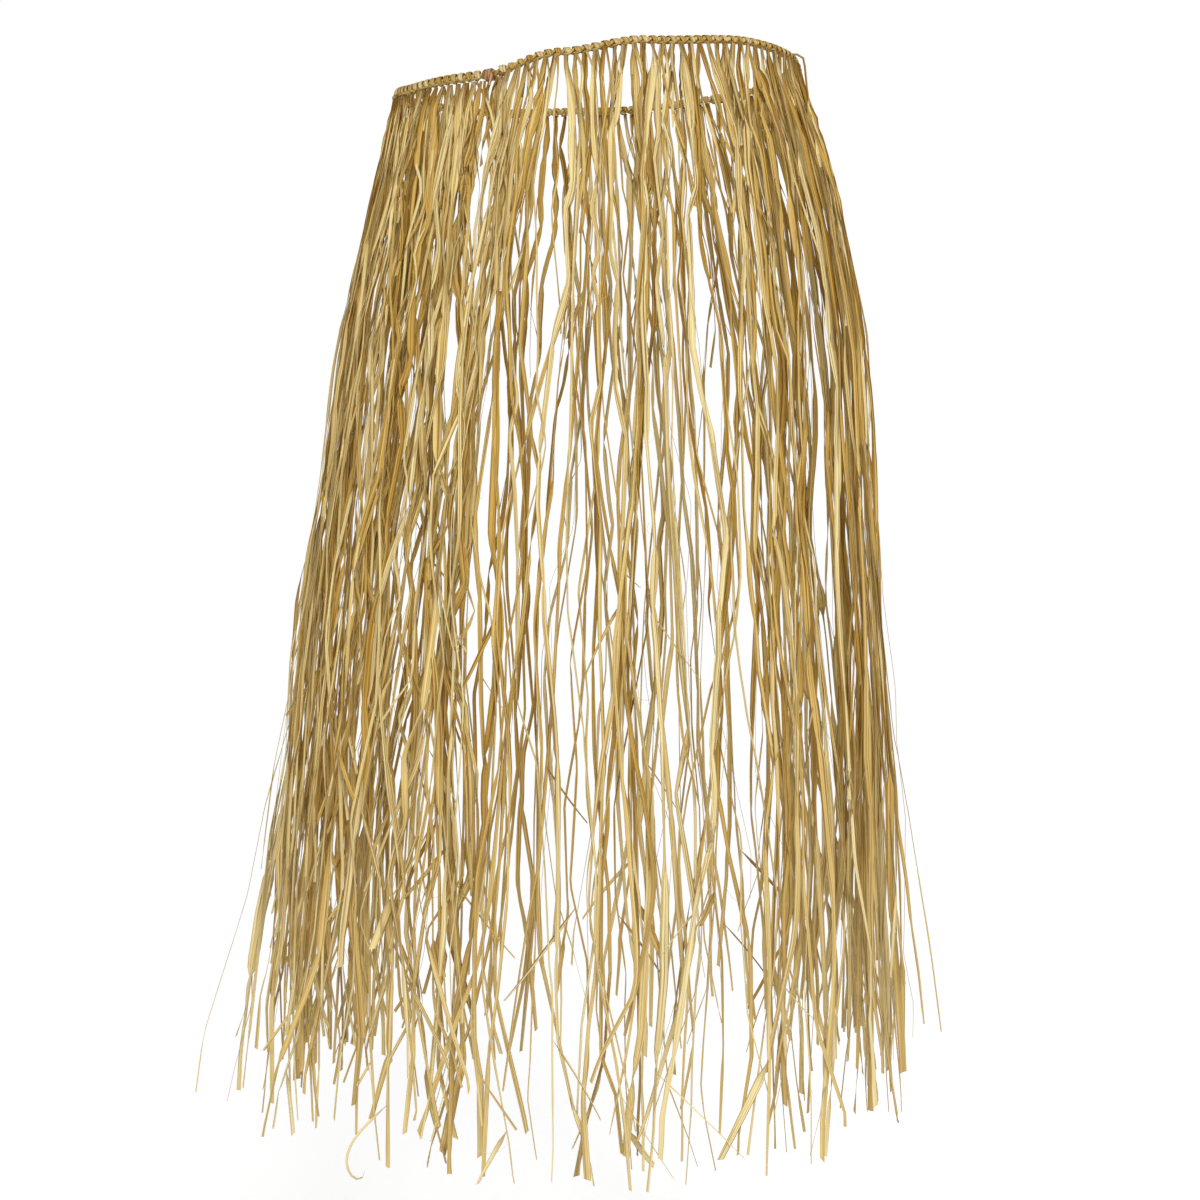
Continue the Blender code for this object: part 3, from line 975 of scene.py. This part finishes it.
def torn_strip(body, ribbon, torn, tone, own):
    """A strip that has torn off its ribbon at one point, and leans away from it."""
    drops, centres, out, side = ribbon
    drop = min(torn.share * drops[-1], drops[-1] - torn.length * MM * TORN_HELD)
    start = read_vectors(drop, drops, centres)
    row = min(int(np.searchsorted(drops, drop)), len(drops) - 1)
    shares = np.linspace(0, 1, TORN_STATIONS)
    leans = np.radians(torn.lean_from + (torn.lean_to - torn.lean_from) * shares ** torn.bend)
    step = torn.length * MM / (TORN_STATIONS - 1)
    moves = side[row] * np.sin(leans)[:, None] - np.array(UP) * np.cos(leans)[:, None] + out[row] * TORN_OUT
    places = start + np.concatenate([[[0, 0, 0]], np.cumsum(moves[:-1] * step, axis=0)])
    taper = (1 - TORN_TAPER * shares ** 2) * np.clip(shares / TORN_OPENS, TORN_ROOT, 1)
    thickness = min(STRIP_THICKNESS, torn.half_width * MM)
    turns = TORN_TWIST[torn.section] * shares
    shape = Shape(out[row], torn.half_width * MM * taper, thickness, turns, TORN_CREASE, TORN_CUT)
    draw_strip(body, torn.section, places, tone, own, shape)


def torn_bit(dice):
    """A narrow bit that leans away to one side."""
    away = dice.choice((-1, 1))
    lean = away * dice.uniform(8, 48)
    return Torn(
        share=dice.uniform(0.45, 0.98), length=dice.uniform(20, 80), lean_from=lean,
        lean_to=lean + away * dice.uniform(-12, 12), half_width=dice.uniform(0.5, 1.6), section=NARROW,
    )


def torn_leaf(dice):
    """A wide bit near the hem."""
    lean = dice.uniform(-32, 32)
    return Torn(
        share=dice.uniform(0.72, 0.97), length=dice.uniform(20, 48), lean_from=lean,
        lean_to=lean + dice.uniform(-14, 14), half_width=dice.uniform(1.8, 3.6), section=FLAT,
    )


def curl(dice):
    """A hair that bends round to one side."""
    away = dice.choice((-1, 1))
    return Torn(
        share=dice.uniform(0.1, 0.97), length=dice.uniform(12, 36), lean_from=away * dice.uniform(10, 70),
        lean_to=away * dice.uniform(90, 320), half_width=0.14, section=HAIR,
    )


print("stations of a torn strip:", TORN_STATIONS)

# %% [markdown]
# ## Chosen ends at the hem
#
# A few ends are seen well, so they are placed one by one: a long wide diagonal one at the wearer's
# left, a curl at the right, and some leaning tips. Each goes to the nearest free lane of the outer
# layer, and that lane keeps its full length.

# %% Hem
HemPiece = namedtuple("HemPiece", "angle torn")
HEM = (
    HemPiece(25, Torn(0.90, 74, -33, -35, 3.5, FLAT)),
    HemPiece(14, Torn(0.90, 82, 46, 44, 0.55, NARROW)),
    HemPiece(7, Torn(0.92, 64, 32, 34, 0.4, NARROW)),
    HemPiece(-34, Torn(0.96, 78, -46, 215, 0.9, NARROW, 3.6)),
    HemPiece(-52, Torn(0.94, 46, 26, 20, 2.2, FLAT)),
    HemPiece(-14, Torn(0.955, 40, -30, -26, 1.6, NARROW)),
    HemPiece(52, Torn(0.93, 52, -24, -30, 1.6, NARROW)),
)
hem_pieces = {}
free = [lane for lane in lanes[OUTER_LAYER::LAYERS] if lane.stray is NO_STRAY and not lane.second_of_pair]
for hem_piece in HEM:
    chosen = nearest_lane(free, hem_piece.angle)
    chosen.length = along_waist(chosen.start, "length")
    hem_pieces[chosen.number] = hem_piece.torn
    free.remove(chosen)
print("chosen ends:", len(hem_pieces))

# %% [markdown]
# ## Tops, tones and widths
#
# All the strips of a lane start at its knot, and fan out over the first 13 mm. The layers have their
# own tones, drawn at random. The inner ones are darker and browner, which is painted shade for the
# inside of the skirt. Widths are drawn from a least and a greatest one in mm, and a power: the
# higher it is, the more ribbons are narrow.

# %% Tops, tones and widths
FEWEST_STATIONS = 8
# Inner layers get darker tones: painted shade for the inside of the skirt.
LAYER_TONES_WITH_INNER_SHADE = ((0.30, 1.00), (0.10, 0.90), (0.0, 0.78))
ROOT_DROP = 2.7 * MM
ROOT_FAN = 1.5
RIBBON_WIDTH = (2.6, 8.4, 1.6)
OPEN_WIDTH = (3.2, 6.2, 2.0)
OPEN_NARROWER = 0.36
FAR_STRAY = 40
FAR_STRAY_HALF_WIDTH = 0.6 * MM


def stations(length, spacing):
    """The drops at which a strip has a section, evenly spaced."""
    return np.linspace(0, length, max(int(length / spacing), FEWEST_STATIONS))


def ribbon_tone(lane, dice):
    """A strip's own tone: random, browner in inner layers as painted shade, and browner on the dense side.
    """
    return dice.uniform(*LAYER_TONES_WITH_INNER_SHADE[lane.layer]) + lane.part.browner


def from_knot(centres, drops, knot_angle, out, aside):
    """Draws the top of a strip in to its knot, from which it fans out."""
    angle = knot_angle + aside / WAIST_HALF_WIDTH
    knot = np.array(at_waist(angle, ROOT_OUT + out, -ROOT_DROP * part_at(angle).knot_size ** 2))
    hold = np.clip(1 - drops / ROOT_HOLD, 0, 1) ** ROOT_FAN
    return centres + (knot - centres[0]) * hold[:, None]


def random_half_width(limits, dice):
    """Half a width between two limits in mm. Narrow ones are more common, by a power."""
    narrowest, widest, power = limits
    return (narrowest + (widest - narrowest) * dice.random() ** power) * MM / 2


def ribbon_half_width(lane, dice):
    """Half the width of a lane's wide ribbon, before it swells and tapers."""
    half = random_half_width(RIBBON_WIDTH, dice)
    if lane.part.is_open:
        half = random_half_width(OPEN_WIDTH, dice) * (OPEN_NARROWER if lane.second_of_pair else 1)
    return FAR_STRAY_HALF_WIDTH if lane.stray.out > FAR_STRAY else half * lane.part.narrower


print("ribbons: %.1f to %.1f mm wide" % RIBBON_WIDTH[:2])

# %% [markdown]
# ## Wide ribbons
#
# A lane that isn't left empty gets one wide ribbon, near the middle of the lane. It is creased and
# pleated where it comes out of the knot, swells a little below that, and mostly tapers towards its
# end. None has the same width all the way down.

# %% Wide ribbons
RIBBON_STATION = 6.5 * MM
RIBBON_THICKNESS = 0.34 * MM
END_SPREAD = 28
END_TAPER = (-0.1, 0.35)
END_LENGTH = 120 * MM
END_POWER = 1.5
ROOT_HALF_WIDTH = 1.9 * MM
ROOT_NARROWER = (0.6, 1)
ROOT_SPREAD = 1.5 * MM
ROOT_SHAKE = 0.5
ROOT_OUT_SHAKE = 0.6
ROOT_OPENING = 14 * MM
HEADER_SWELL = 0.50
HEADER_MIDDLE = 34 * MM
HEADER_SPREAD = 40 * MM
UNEVEN_SPACING = (18, 60)
UNEVEN = 0.24
LEAST_CREASE = 0.15
CREASE_AT_KNOT = 0.5
CREASE_LENGTH = 30 * MM
CREASE_FURTHER = 0.75
SHARPEST_CREASE = 0.92
RIPPLE = (0, 0.16)
PLEAT_DEPTH = (0.12, 0.30)
PLEAT_LENGTH = 90 * MM


def wide_ribbon(body, lane, knot_angle, dice):
    """Draws a lane's wide ribbon. Returns its path, from which strips can be torn."""
    shorter = max(dice.gauss(0, END_SPREAD), 0) * lane.part.raggedness * MM
    drops = stations(lane.length - (0 if lane.number in hem_pieces else shorter), RIBBON_STATION)
    centres, out, side, folds = folded_path(lane, drops, lane.layer, RIBBON_FOLDING, dice)
    aside = (lane.second_of_pair - 0.5) * ROOT_SPREAD + dice.uniform(-ROOT_SHAKE, ROOT_SHAKE) * MM
    out_shake = dice.uniform(-ROOT_OUT_SHAKE, ROOT_OUT_SHAKE) * MM
    centres = from_knot(centres, drops, knot_angle, out_shake, aside)
    turns = folds.turns() + lane.turn * np.interp(drops / LONGEST_RIBBON, ROW_SHARES, ROW_TURN)

    half = ribbon_half_width(lane, dice)
    swell = 1 + HEADER_SWELL * np.exp(-((drops - HEADER_MIDDLE) / HEADER_SPREAD) ** 2)
    end = np.clip((drops - drops[-1]) / END_LENGTH + 1, 0, 1) ** END_POWER
    taper = 1 - dice.uniform(*END_TAPER) * end
    uneven = 1 + turning_points(dice, drops, UNEVEN_SPACING, UNEVEN)
    widths = half * swell * taper * uneven * folds.widths()
    opening = np.clip(drops / ROOT_OPENING, 0, 1)
    root_widths = np.minimum(widths, ROOT_HALF_WIDTH * dice.uniform(*ROOT_NARROWER))
    widths = widths * opening + root_widths * (1 - opening)

    crease = LEAST_CREASE + CREASE_AT_KNOT * np.exp(-drops / CREASE_LENGTH)
    crease = crease + np.abs(turning_points(dice, drops, OUT_SPACING, CREASE_FURTHER))
    crease = np.clip(crease, 0, SHARPEST_CREASE)
    tone, own = ribbon_tone(lane, dice), dice.random()
    ripple = dice.uniform(*RIPPLE) + dice.uniform(*PLEAT_DEPTH) * np.exp(-drops / PLEAT_LENGTH)
    shape = Shape(out, widths, RIBBON_THICKNESS, turns, crease, lane.slant, ripple)
    draw_strip(body, FLAT, centres, tone, own, shape)
    return drops, centres, out, side


print("stations: every %.1f mm of a ribbon" % (RIBBON_STATION / MM))

# %% [markdown]
# ## Narrow strips and hairs
#
# A ribbon splits as it dries. The narrow strips torn from it wander further, in front of it or
# behind it, which gives the crossings between neighbours. Some are broken off short below the cord,
# also in a lane that has no ribbon.
# A hair is a single fibre.

# %% Narrow strips and hairs
STRIP_STATION = 9 * MM
STRIP_WIDTH = (1.3, 3.2)
STRIP_DEPTHS = (-0.45, 0.45, 0.45)
STRIP_SHORTER = (-3, 90)
STRIP_UNEVEN_SPACING = (25, 80)
STRIP_UNEVEN = 0.35
STRIP_CREASE = 0.1
STRIP_OUT_SHAKE = 0.8
SHORT_LENGTH = (45, 210)
HAIR_RADIUS = 0.20 * MM
HAIR_SHORTER = (0, 160)
HAIR_SPACING = (35, 110)
HAIR_ASIDE = 16 * MM
HAIR_OUT = 6 * MM
HAIR_DEPTH = 0.5


def narrow_strip(body, lane, knot_angle, dice, short=False):
    """Draws a narrow strip in a lane, down to the hem or broken off short."""
    length = lane.length - dice.uniform(*STRIP_SHORTER) * lane.part.raggedness * MM
    if short:
        length = dice.uniform(*SHORT_LENGTH) * MM
    drops = stations(length, STRIP_STATION)
    depth = lane.layer + dice.choice(STRIP_DEPTHS)
    centres, out, _, folds = folded_path(lane, drops, depth, STRIP_FOLDING, dice)
    aside = dice.uniform(-1, 1) * ROOT_SPREAD
    out_shake = dice.uniform(-STRIP_OUT_SHAKE, STRIP_OUT_SHAKE) * MM
    centres = from_knot(centres, drops, knot_angle, out_shake, aside)
    half = dice.uniform(*STRIP_WIDTH) * MM / 2
    uneven = 1 + turning_points(dice, drops, STRIP_UNEVEN_SPACING, STRIP_UNEVEN)
    widths = half * uneven * folds.widths()
    tone, own = ribbon_tone(lane, dice), dice.random()
    shape = Shape(out, widths, STRIP_THICKNESS, folds.turns(), STRIP_CREASE, dice.uniform(-1, 1))
    draw_strip(body, NARROW, centres, tone, own, shape)


def hair(body, lane, knot_angle, dice):
    """Draws a single fibre in a lane."""
    drops = stations(lane.length - dice.uniform(*HAIR_SHORTER) * MM, STRIP_STATION)
    centres, out, side = lane_path(lane, drops, lane.layer + HAIR_DEPTH, dice)
    centres = centres + side * turning_points(dice, drops, HAIR_SPACING, HAIR_ASIDE)[:, None]
    centres = centres + out * turning_points(dice, drops, HAIR_SPACING, HAIR_OUT)[:, None]
    centres = from_knot(centres, drops, knot_angle, 0, 0)
    draw_strip(body, HAIR, centres, dice.random(), dice.random(), Shape(out, HAIR_RADIUS, 2 * HAIR_RADIUS))


print("strips: %.1f to %.1f mm wide" % STRIP_WIDTH)

# %% [markdown]
# ## One lock
#
# A lock is everything that hangs in one lane: the wide ribbon, its narrow strips, and now and then a
# leaf, a hair, a torn bit or a curl. How many of each depends on the part of the skirt. Every lock
# has random numbers of its own, so that a change to one leaves the others as they are.

# %% Locks
SHORT_SHARE = 0.5
HAIR_SHARE = 0.15
CURL_SHARE = 0.18
CURL_TONE = 0.2
CHOSEN_TONE = 0.15
LEAF_TONES = (0, 0.7)


def left_out(lane, dice):
    """Whether a lane stays empty, which only happens where the skirt is open."""
    may_stay_empty = lane.part.is_open and lane.second_of_pair and lane.stray is NO_STRAY
    return may_stay_empty and dice.random() < lane.part.left_out


def lock(body, lane, knot_angle):
    """Everything that hangs in one lane."""
    dice = random.Random(SEED + lane.number)
    if dice.random() < SHORT_SHARE:
        narrow_strip(body, lane, knot_angle, dice, short=True)
    if left_out(lane, dice):
        return
    ribbon = wide_ribbon(body, lane, knot_angle, dice)
    if lane.stray.out > FAR_STRAY:
        return
    if lane.number in hem_pieces:
        torn_strip(body, ribbon, hem_pieces[lane.number], CHOSEN_TONE, dice.random())
    for _ in range(dice.choice(lane.part.strips)):
        narrow_strip(body, lane, knot_angle, dice)
    if dice.random() < lane.part.leaves:
        torn_strip(body, ribbon, torn_leaf(dice), dice.uniform(*LEAF_TONES), dice.random())
    if dice.random() < HAIR_SHARE:
        hair(body, lane, knot_angle, dice)
    for _ in range(dice.choice(lane.part.bits)):
        torn_strip(body, ribbon, torn_bit(dice), dice.random(), dice.random())
    if dice.random() < CURL_SHARE:
        torn_strip(body, ribbon, curl(dice), CURL_TONE, dice.random())


print("narrow strips in a dense lock:", DENSE_SIDE.strips)

# %% [markdown]
# ## Knots
#
# Each ribbon is folded in half, laid behind the cord, and its ends are pulled down through its own
# loop. The knot could be followed strand by strand, but at this size only two things show: a band
# that leans over the cord, and a short bar across it below, where the ends come out. Both are round
# strips, and bulkier where the skirt is dense.

# %% Knots
CORD_RADIUS = 2.3 * MM
BAND_START = math.radians(215)
BAND_END = math.radians(-35)
BAND_STATIONS = 13
BAND_LEAN = 5.0 * MM
BAND_HALF_WIDTH = 2.2 * MM
BAND_THICKNESS = 1.1 * MM
BAND_LEANS = (0.7, 1.2)
BAND_WIDTHS = (0.85, 1.15)
BAND_TONES = (0.1, 0.8)
BAND_OUT = 0.55
BAND_ENDS = 0.75
BAR_HALF_LENGTH = 2.0 * MM
BAR_RADIUS = 0.8 * MM
BAR_ENDS = 0.55
BAR_OUT = 0.5
BAR_BULGE = 0.9
BAR_DROP = 2.3 * MM
BAR_LIFT = 0.3
BAR_TILT = 0.5
BAR_TONES = (0.2, 0.9)
BAR_STATIONS = 7


def near_cord(distance, turn, radius):
    """A point round the cord: turn is 0 straight out of the skirt, and a quarter turn on top."""
    return at_waist(angle_at(distance), radius * math.cos(turn), radius * math.sin(turn))


def round_cord(distances, turns, radius):
    """Points round the cord, and the directions from its middle line to them."""
    points = np.array([near_cord(d, t, radius) for d, t in zip(distances, turns)])
    return points, points - np.array([near_cord(d, 0, 0) for d in distances])


def knot_band(body, distance, size, dice):
    """The loop of a folded ribbon, which leans over the cord."""
    turns = np.linspace(BAND_START, BAND_END, BAND_STATIONS)
    lean = BAND_LEAN * dice.uniform(*BAND_LEANS)
    distances = distance + lean * np.linspace(-0.5, 0.5, BAND_STATIONS)
    centres, out = round_cord(distances, turns, (CORD_RADIUS + BAND_THICKNESS * BAND_OUT) * size)
    bulge = BAND_ENDS + (1 - BAND_ENDS) * np.sin(np.linspace(0, math.pi, BAND_STATIONS))
    half_widths = BAND_HALF_WIDTH * dice.uniform(*BAND_WIDTHS) * size * bulge
    shape = Shape(out, half_widths, BAND_THICKNESS * size)
    draw_strip(body, ROUND, centres, dice.uniform(*BAND_TONES), dice.random(), shape)


def knot_bar(body, distance, size, dice):
    """The short bar across the loop, under the cord."""
    shares = np.linspace(-1, 1, BAR_STATIONS)
    tilt = dice.uniform(-BAR_TILT, BAR_TILT) * MM
    bulge = np.cos(shares * math.pi / 2)
    centres = []
    for share, swell in zip(shares, bulge):
        out = (CORD_RADIUS + (BAR_OUT + BAR_BULGE * swell) * MM) * size
        place = near_cord(distance + share * BAR_HALF_LENGTH, 0, out)
        centres.append(place - UP * (BAR_DROP - share * tilt - swell * BAR_LIFT * MM) * size)
    radii = BAR_RADIUS * size * (BAR_ENDS + (1 - BAR_ENDS) * bulge)
    shape = Shape(outward(angle_at(distance)), radii, 2 * BAR_RADIUS * size)
    draw_strip(body, ROUND, centres, dice.uniform(*BAR_TONES), dice.random(), shape)


print("knots: every %.1f mm" % (KNOT_PITCH / MM))

# %% [markdown]
# ## Strands beside the lanes
#
# The knots leave a gap at the tie, so a few thin ribbons start there and join the nearest lane
# further down. At the wearer's left, one strand leaves the cord sideways and bends sharply before it
# hangs. Its points are given in mm.

# %% Strands beside the lanes
TIE_STRANDS = (-5.2, -2.2, 3.4)
TIE_STRAND_JOINS = 0.24
KINKED_POINTS = (
    (138, -36, 13), (146, -27, 15), (151, -20, 14), (152.5, -18, 8), (154, -16, -6), (156, -14, -20),
    (161, -11, -52), (168, -8, -92), (176, -5, -140), (183, -2, -196),
)
KINKED_ANGLE = math.radians(80)
KINKED_HALF_WIDTH = 0.8 * MM
KINKED_TONE = 0.9
KINKED_OWN = 0.37
KINKED_CUT = 0.4


def tie_lane(aside):
    """A lane that starts close to the tie, and joins its neighbour further down."""
    neighbour = lanes[0] if aside > 0 else lanes[-1]
    lane = copy.copy(neighbour)
    lane.start = angle_at(aside * MM if aside > 0 else WAIST_LENGTH + aside * MM)
    moved = lane.start - neighbour.start
    lane.angles = [
        angle + moved * (1 - ease(section.share / TIE_STRAND_JOINS))
        for angle, section in zip(neighbour.angles, SECTIONS)
    ]
    return lane


def kinked_strand(body):
    """One strand that leaves the cord sideways, bends sharply and then hangs."""
    shape = Shape(outward(KINKED_ANGLE), KINKED_HALF_WIDTH, 2 * KINKED_HALF_WIDTH, slant=KINKED_CUT)
    draw_strip(body, ROUND, np.array(KINKED_POINTS) * MM, KINKED_TONE, KINKED_OWN, shape)


print("strands beside the lanes:", len(TIE_STRANDS) + 1)

# %% [markdown]
# ## Fringe panels
#
# Ten knots with all that hangs from them make a panel, and each panel stands for one node of the
# frame. The strands at the tie belong to the first and the last panel.

# %% Fringe panels
KINKED_PANEL = 3
KNOT_SEED = 3 * SEED
TIE_SEED = 5 * SEED

triangles = 0
for panel in range(PANELS):
    body = bmesh.new()
    for knot in range(panel * KNOTS_PER_PANEL, (panel + 1) * KNOTS_PER_PANEL):
        distance = TIE_GAP / 2 + KNOT_PITCH * (knot + 0.5)
        knot_angle = angle_at(distance)
        knot_size = part_at(knot_angle).knot_size
        dice = random.Random(KNOT_SEED + knot)
        knot_band(body, distance, knot_size, dice)
        knot_bar(body, distance, knot_size, dice)
        for lane in lanes[knot * LANES_PER_KNOT:(knot + 1) * LANES_PER_KNOT]:
            lock(body, lane, knot_angle)
    if panel == KINKED_PANEL:
        kinked_strand(body)
    for strand, aside in enumerate(TIE_STRANDS):
        if panel == (0 if aside > 0 else PANELS - 1):
            lane = tie_lane(aside)
            wide_ribbon(body, lane, lane.start, random.Random(TIE_SEED + strand))
    number = f"{panel + 1:02d}"
    piece = finish_piece(f"raffia_panel_{number}", body, RAFFIA, "raffia_fringe", f"fringe_{number}")
    triangles += sum(len(face.vertices) - 2 for face in piece.data.polygons)
print("fringe:", triangles, "triangles")

# %% [markdown]
# ## Waist cord
#
# The cord is two yarns of raffia laid round each other. A plain tube with a bump pattern would look
# smooth at its rim, so each yarn is a round strip of its own, along a helix that follows the waist
# line. They are half a turn apart, and one turn of the helix covers two knots.

# %% Waist cord
YARNS = 2
YARN_RADIUS = 1.55 * MM
YARN_OFFSET = 1.15 * MM
YARN_TONES = (0.4, 0.6)
YARN_OWN = (0.3, 0.7)
STEPS_PER_TURN = 14
LAY_LENGTH = 2 * KNOT_PITCH
CORD_END = 0.6 * MM

body = bmesh.new()
yarn_steps = int(WAIST_LENGTH / LAY_LENGTH * STEPS_PER_TURN)
yarn_distances = np.linspace(CORD_END, WAIST_LENGTH - CORD_END, yarn_steps)
for yarn in range(YARNS):
    turns = FULL_TURN * (yarn_distances / LAY_LENGTH + yarn / YARNS)
    centres, out = round_cord(yarn_distances, turns, YARN_OFFSET)
    shape = Shape(out, YARN_RADIUS, 2 * YARN_RADIUS)
    draw_strip(body, ROUND, centres, YARN_TONES[yarn], YARN_OWN[yarn], shape)
cord = finish_piece("waist_rope", body, RAFFIA_CORD, "raffia_cord", "waist_cord")
print(cord.name, len(cord.data.polygons), "faces")

# %% [markdown]
# ## Tie
#
# The tie is a thinner strand wound three times over the two ends of the cord, a little darker and
# rosier than the rest. A short tail hangs from it, and leaves it gently outwards.

# %% Tie
TIE_TURNS = 3
TIE_RADIUS = 1.0 * MM
TIE_THICKNESS = 1.6 * TIE_RADIUS
TIE_STATIONS = 60
TIE_WOUND = CORD_RADIUS + TIE_RADIUS + 0.5 * MM
TIE_PITCH = 2 * TIE_RADIUS + 0.2 * MM
TIE_TAIL = 9 * MM
TIE_TAIL_OUT = 3 * MM
TIE_TAIL_STATIONS = 8
TIE_TONE = 0.6
TIE_OWN = 0.9

body = bmesh.new()
pitch_angle = TIE_PITCH / metres_per_radian(TIE_ANGLE, WAIST_HALF_WIDTH, WAIST_HALF_DEPTH)
places = []
middle = []
for turn in np.linspace(0, TIE_TURNS, TIE_STATIONS):
    angle = TIE_ANGLE + pitch_angle * (turn - TIE_TURNS / 2)
    out = TIE_WOUND * math.cos(turn * FULL_TURN)
    rise = TIE_WOUND * math.sin(turn * FULL_TURN)
    places.append(at_waist(angle, out, rise))
    middle.append(at_waist(angle, 0, 0))
tie_out = outward(TIE_ANGLE)
wound_end = places[-1]
for share in np.linspace(0, 1, TIE_TAIL_STATIONS + 1)[1:]:
    places.append(wound_end + tie_out * TIE_TAIL_OUT * ease(share) - UP * TIE_TAIL * share)
    middle.append(places[-1] - tie_out)
shape = Shape(np.array(places) - np.array(middle), TIE_RADIUS, TIE_THICKNESS)
draw_strip(body, ROUND, places, TIE_TONE, TIE_OWN, shape)
tie = finish_piece("tie_wrap", body, RAFFIA_TIE, "raffia_cord", "waist_tie")
print(tie.name, len(tie.data.polygons), "faces")

# %% [markdown]
# ## Floor
#
# The floor is a round white sheet, matt, that glows a little, so that its rim vanishes into the
# white surroundings. It is only there for the view, and is no part of the skirt.

# %% Floor
FLOOR = -1.02
FLOOR_RADIUS = 2.0
FLOOR_SEGMENTS = 128
FLOOR_WHITE = 0.93
FLOOR_ROUGHNESS = 0.9
FLOOR_GLOW = 0.42
WHITE = (1, 1, 1, 1)

floor_mesh = bmesh.new()
bmesh.ops.create_circle(floor_mesh, cap_ends=True, segments=FLOOR_SEGMENTS, radius=FLOOR_RADIUS)
floor_data = bpy.data.meshes.new("floor")
floor_mesh.to_mesh(floor_data)
floor_mesh.free()
floor = bpy.data.objects.new("floor", floor_data)
bpy.context.scene.collection.objects.link(floor)
floor.location = (0, 0, FLOOR)
floor_material = bpy.data.materials.new("white floor")
floor_material.use_nodes = True
floor_shader = floor_material.node_tree.nodes["Principled BSDF"]
floor_shader.inputs["Base Color"].default_value = (FLOOR_WHITE, FLOOR_WHITE, FLOOR_WHITE, 1)
floor_shader.inputs["Roughness"].default_value = FLOOR_ROUGHNESS
floor_shader.inputs["Emission Color"].default_value = WHITE
floor_shader.inputs["Emission Strength"].default_value = FLOOR_GLOW
floor_data.materials.append(floor_material)
print("floor: %.2f m below the waist" % -FLOOR)

# %% [markdown]
# ## Surroundings
#
# The surroundings are white up to a little above eye level, which lights the raffia from all sides
# without hard shadows. The ceiling is dimmer, so the faces that look up don't wash out.

# %% Surroundings
WALL_HEIGHT = 0.26
CEILING_START = 0.50
CEILING_LIGHT = 0.46

world = bpy.data.worlds.new("studio")
bpy.context.scene.world = world
world.use_nodes = True
tree = world.node_tree
split = add_node(tree, "ShaderNodeSeparateXYZ")
tree.links.new(add_node(tree, "ShaderNodeTexCoord").outputs["Generated"], split.inputs[0])
background = tree.nodes["Background"]
background.inputs["Color"].default_value = WHITE
strength = fade(tree, split.outputs["Z"], (WALL_HEIGHT, CEILING_START), (1, CEILING_LIGHT))
tree.links.new(strength, background.inputs["Strength"])
print("ceiling: %.0f%% as bright as the walls" % (100 * CEILING_LIGHT))

# %% [markdown]
# ## Key light
#
# One soft light, high in front and a little to the right, models the ribbons and the knots. No
# second light is needed, because the surroundings fill the shadows.

# %% Key light
KEY_PLACE = (0.5, -3.3, 1.7)
KEY_SIZE = 1.0
KEY_POWER = 92

key_data = bpy.data.lights.new("soft key", "AREA")
key_data.size = KEY_SIZE
key_data.energy = KEY_POWER
key = bpy.data.objects.new("soft key", key_data)
bpy.context.scene.collection.objects.link(key)
key.location = KEY_PLACE
aim = Vector((0, 0, VIEW_MIDDLE[1])) - key.location
key.rotation_euler = aim.to_track_quat("-Z", "Y").to_euler()
bpy.context.scene.view_settings.view_transform = "Standard"
print("key light: %.1f m from the skirt" % aim.length)
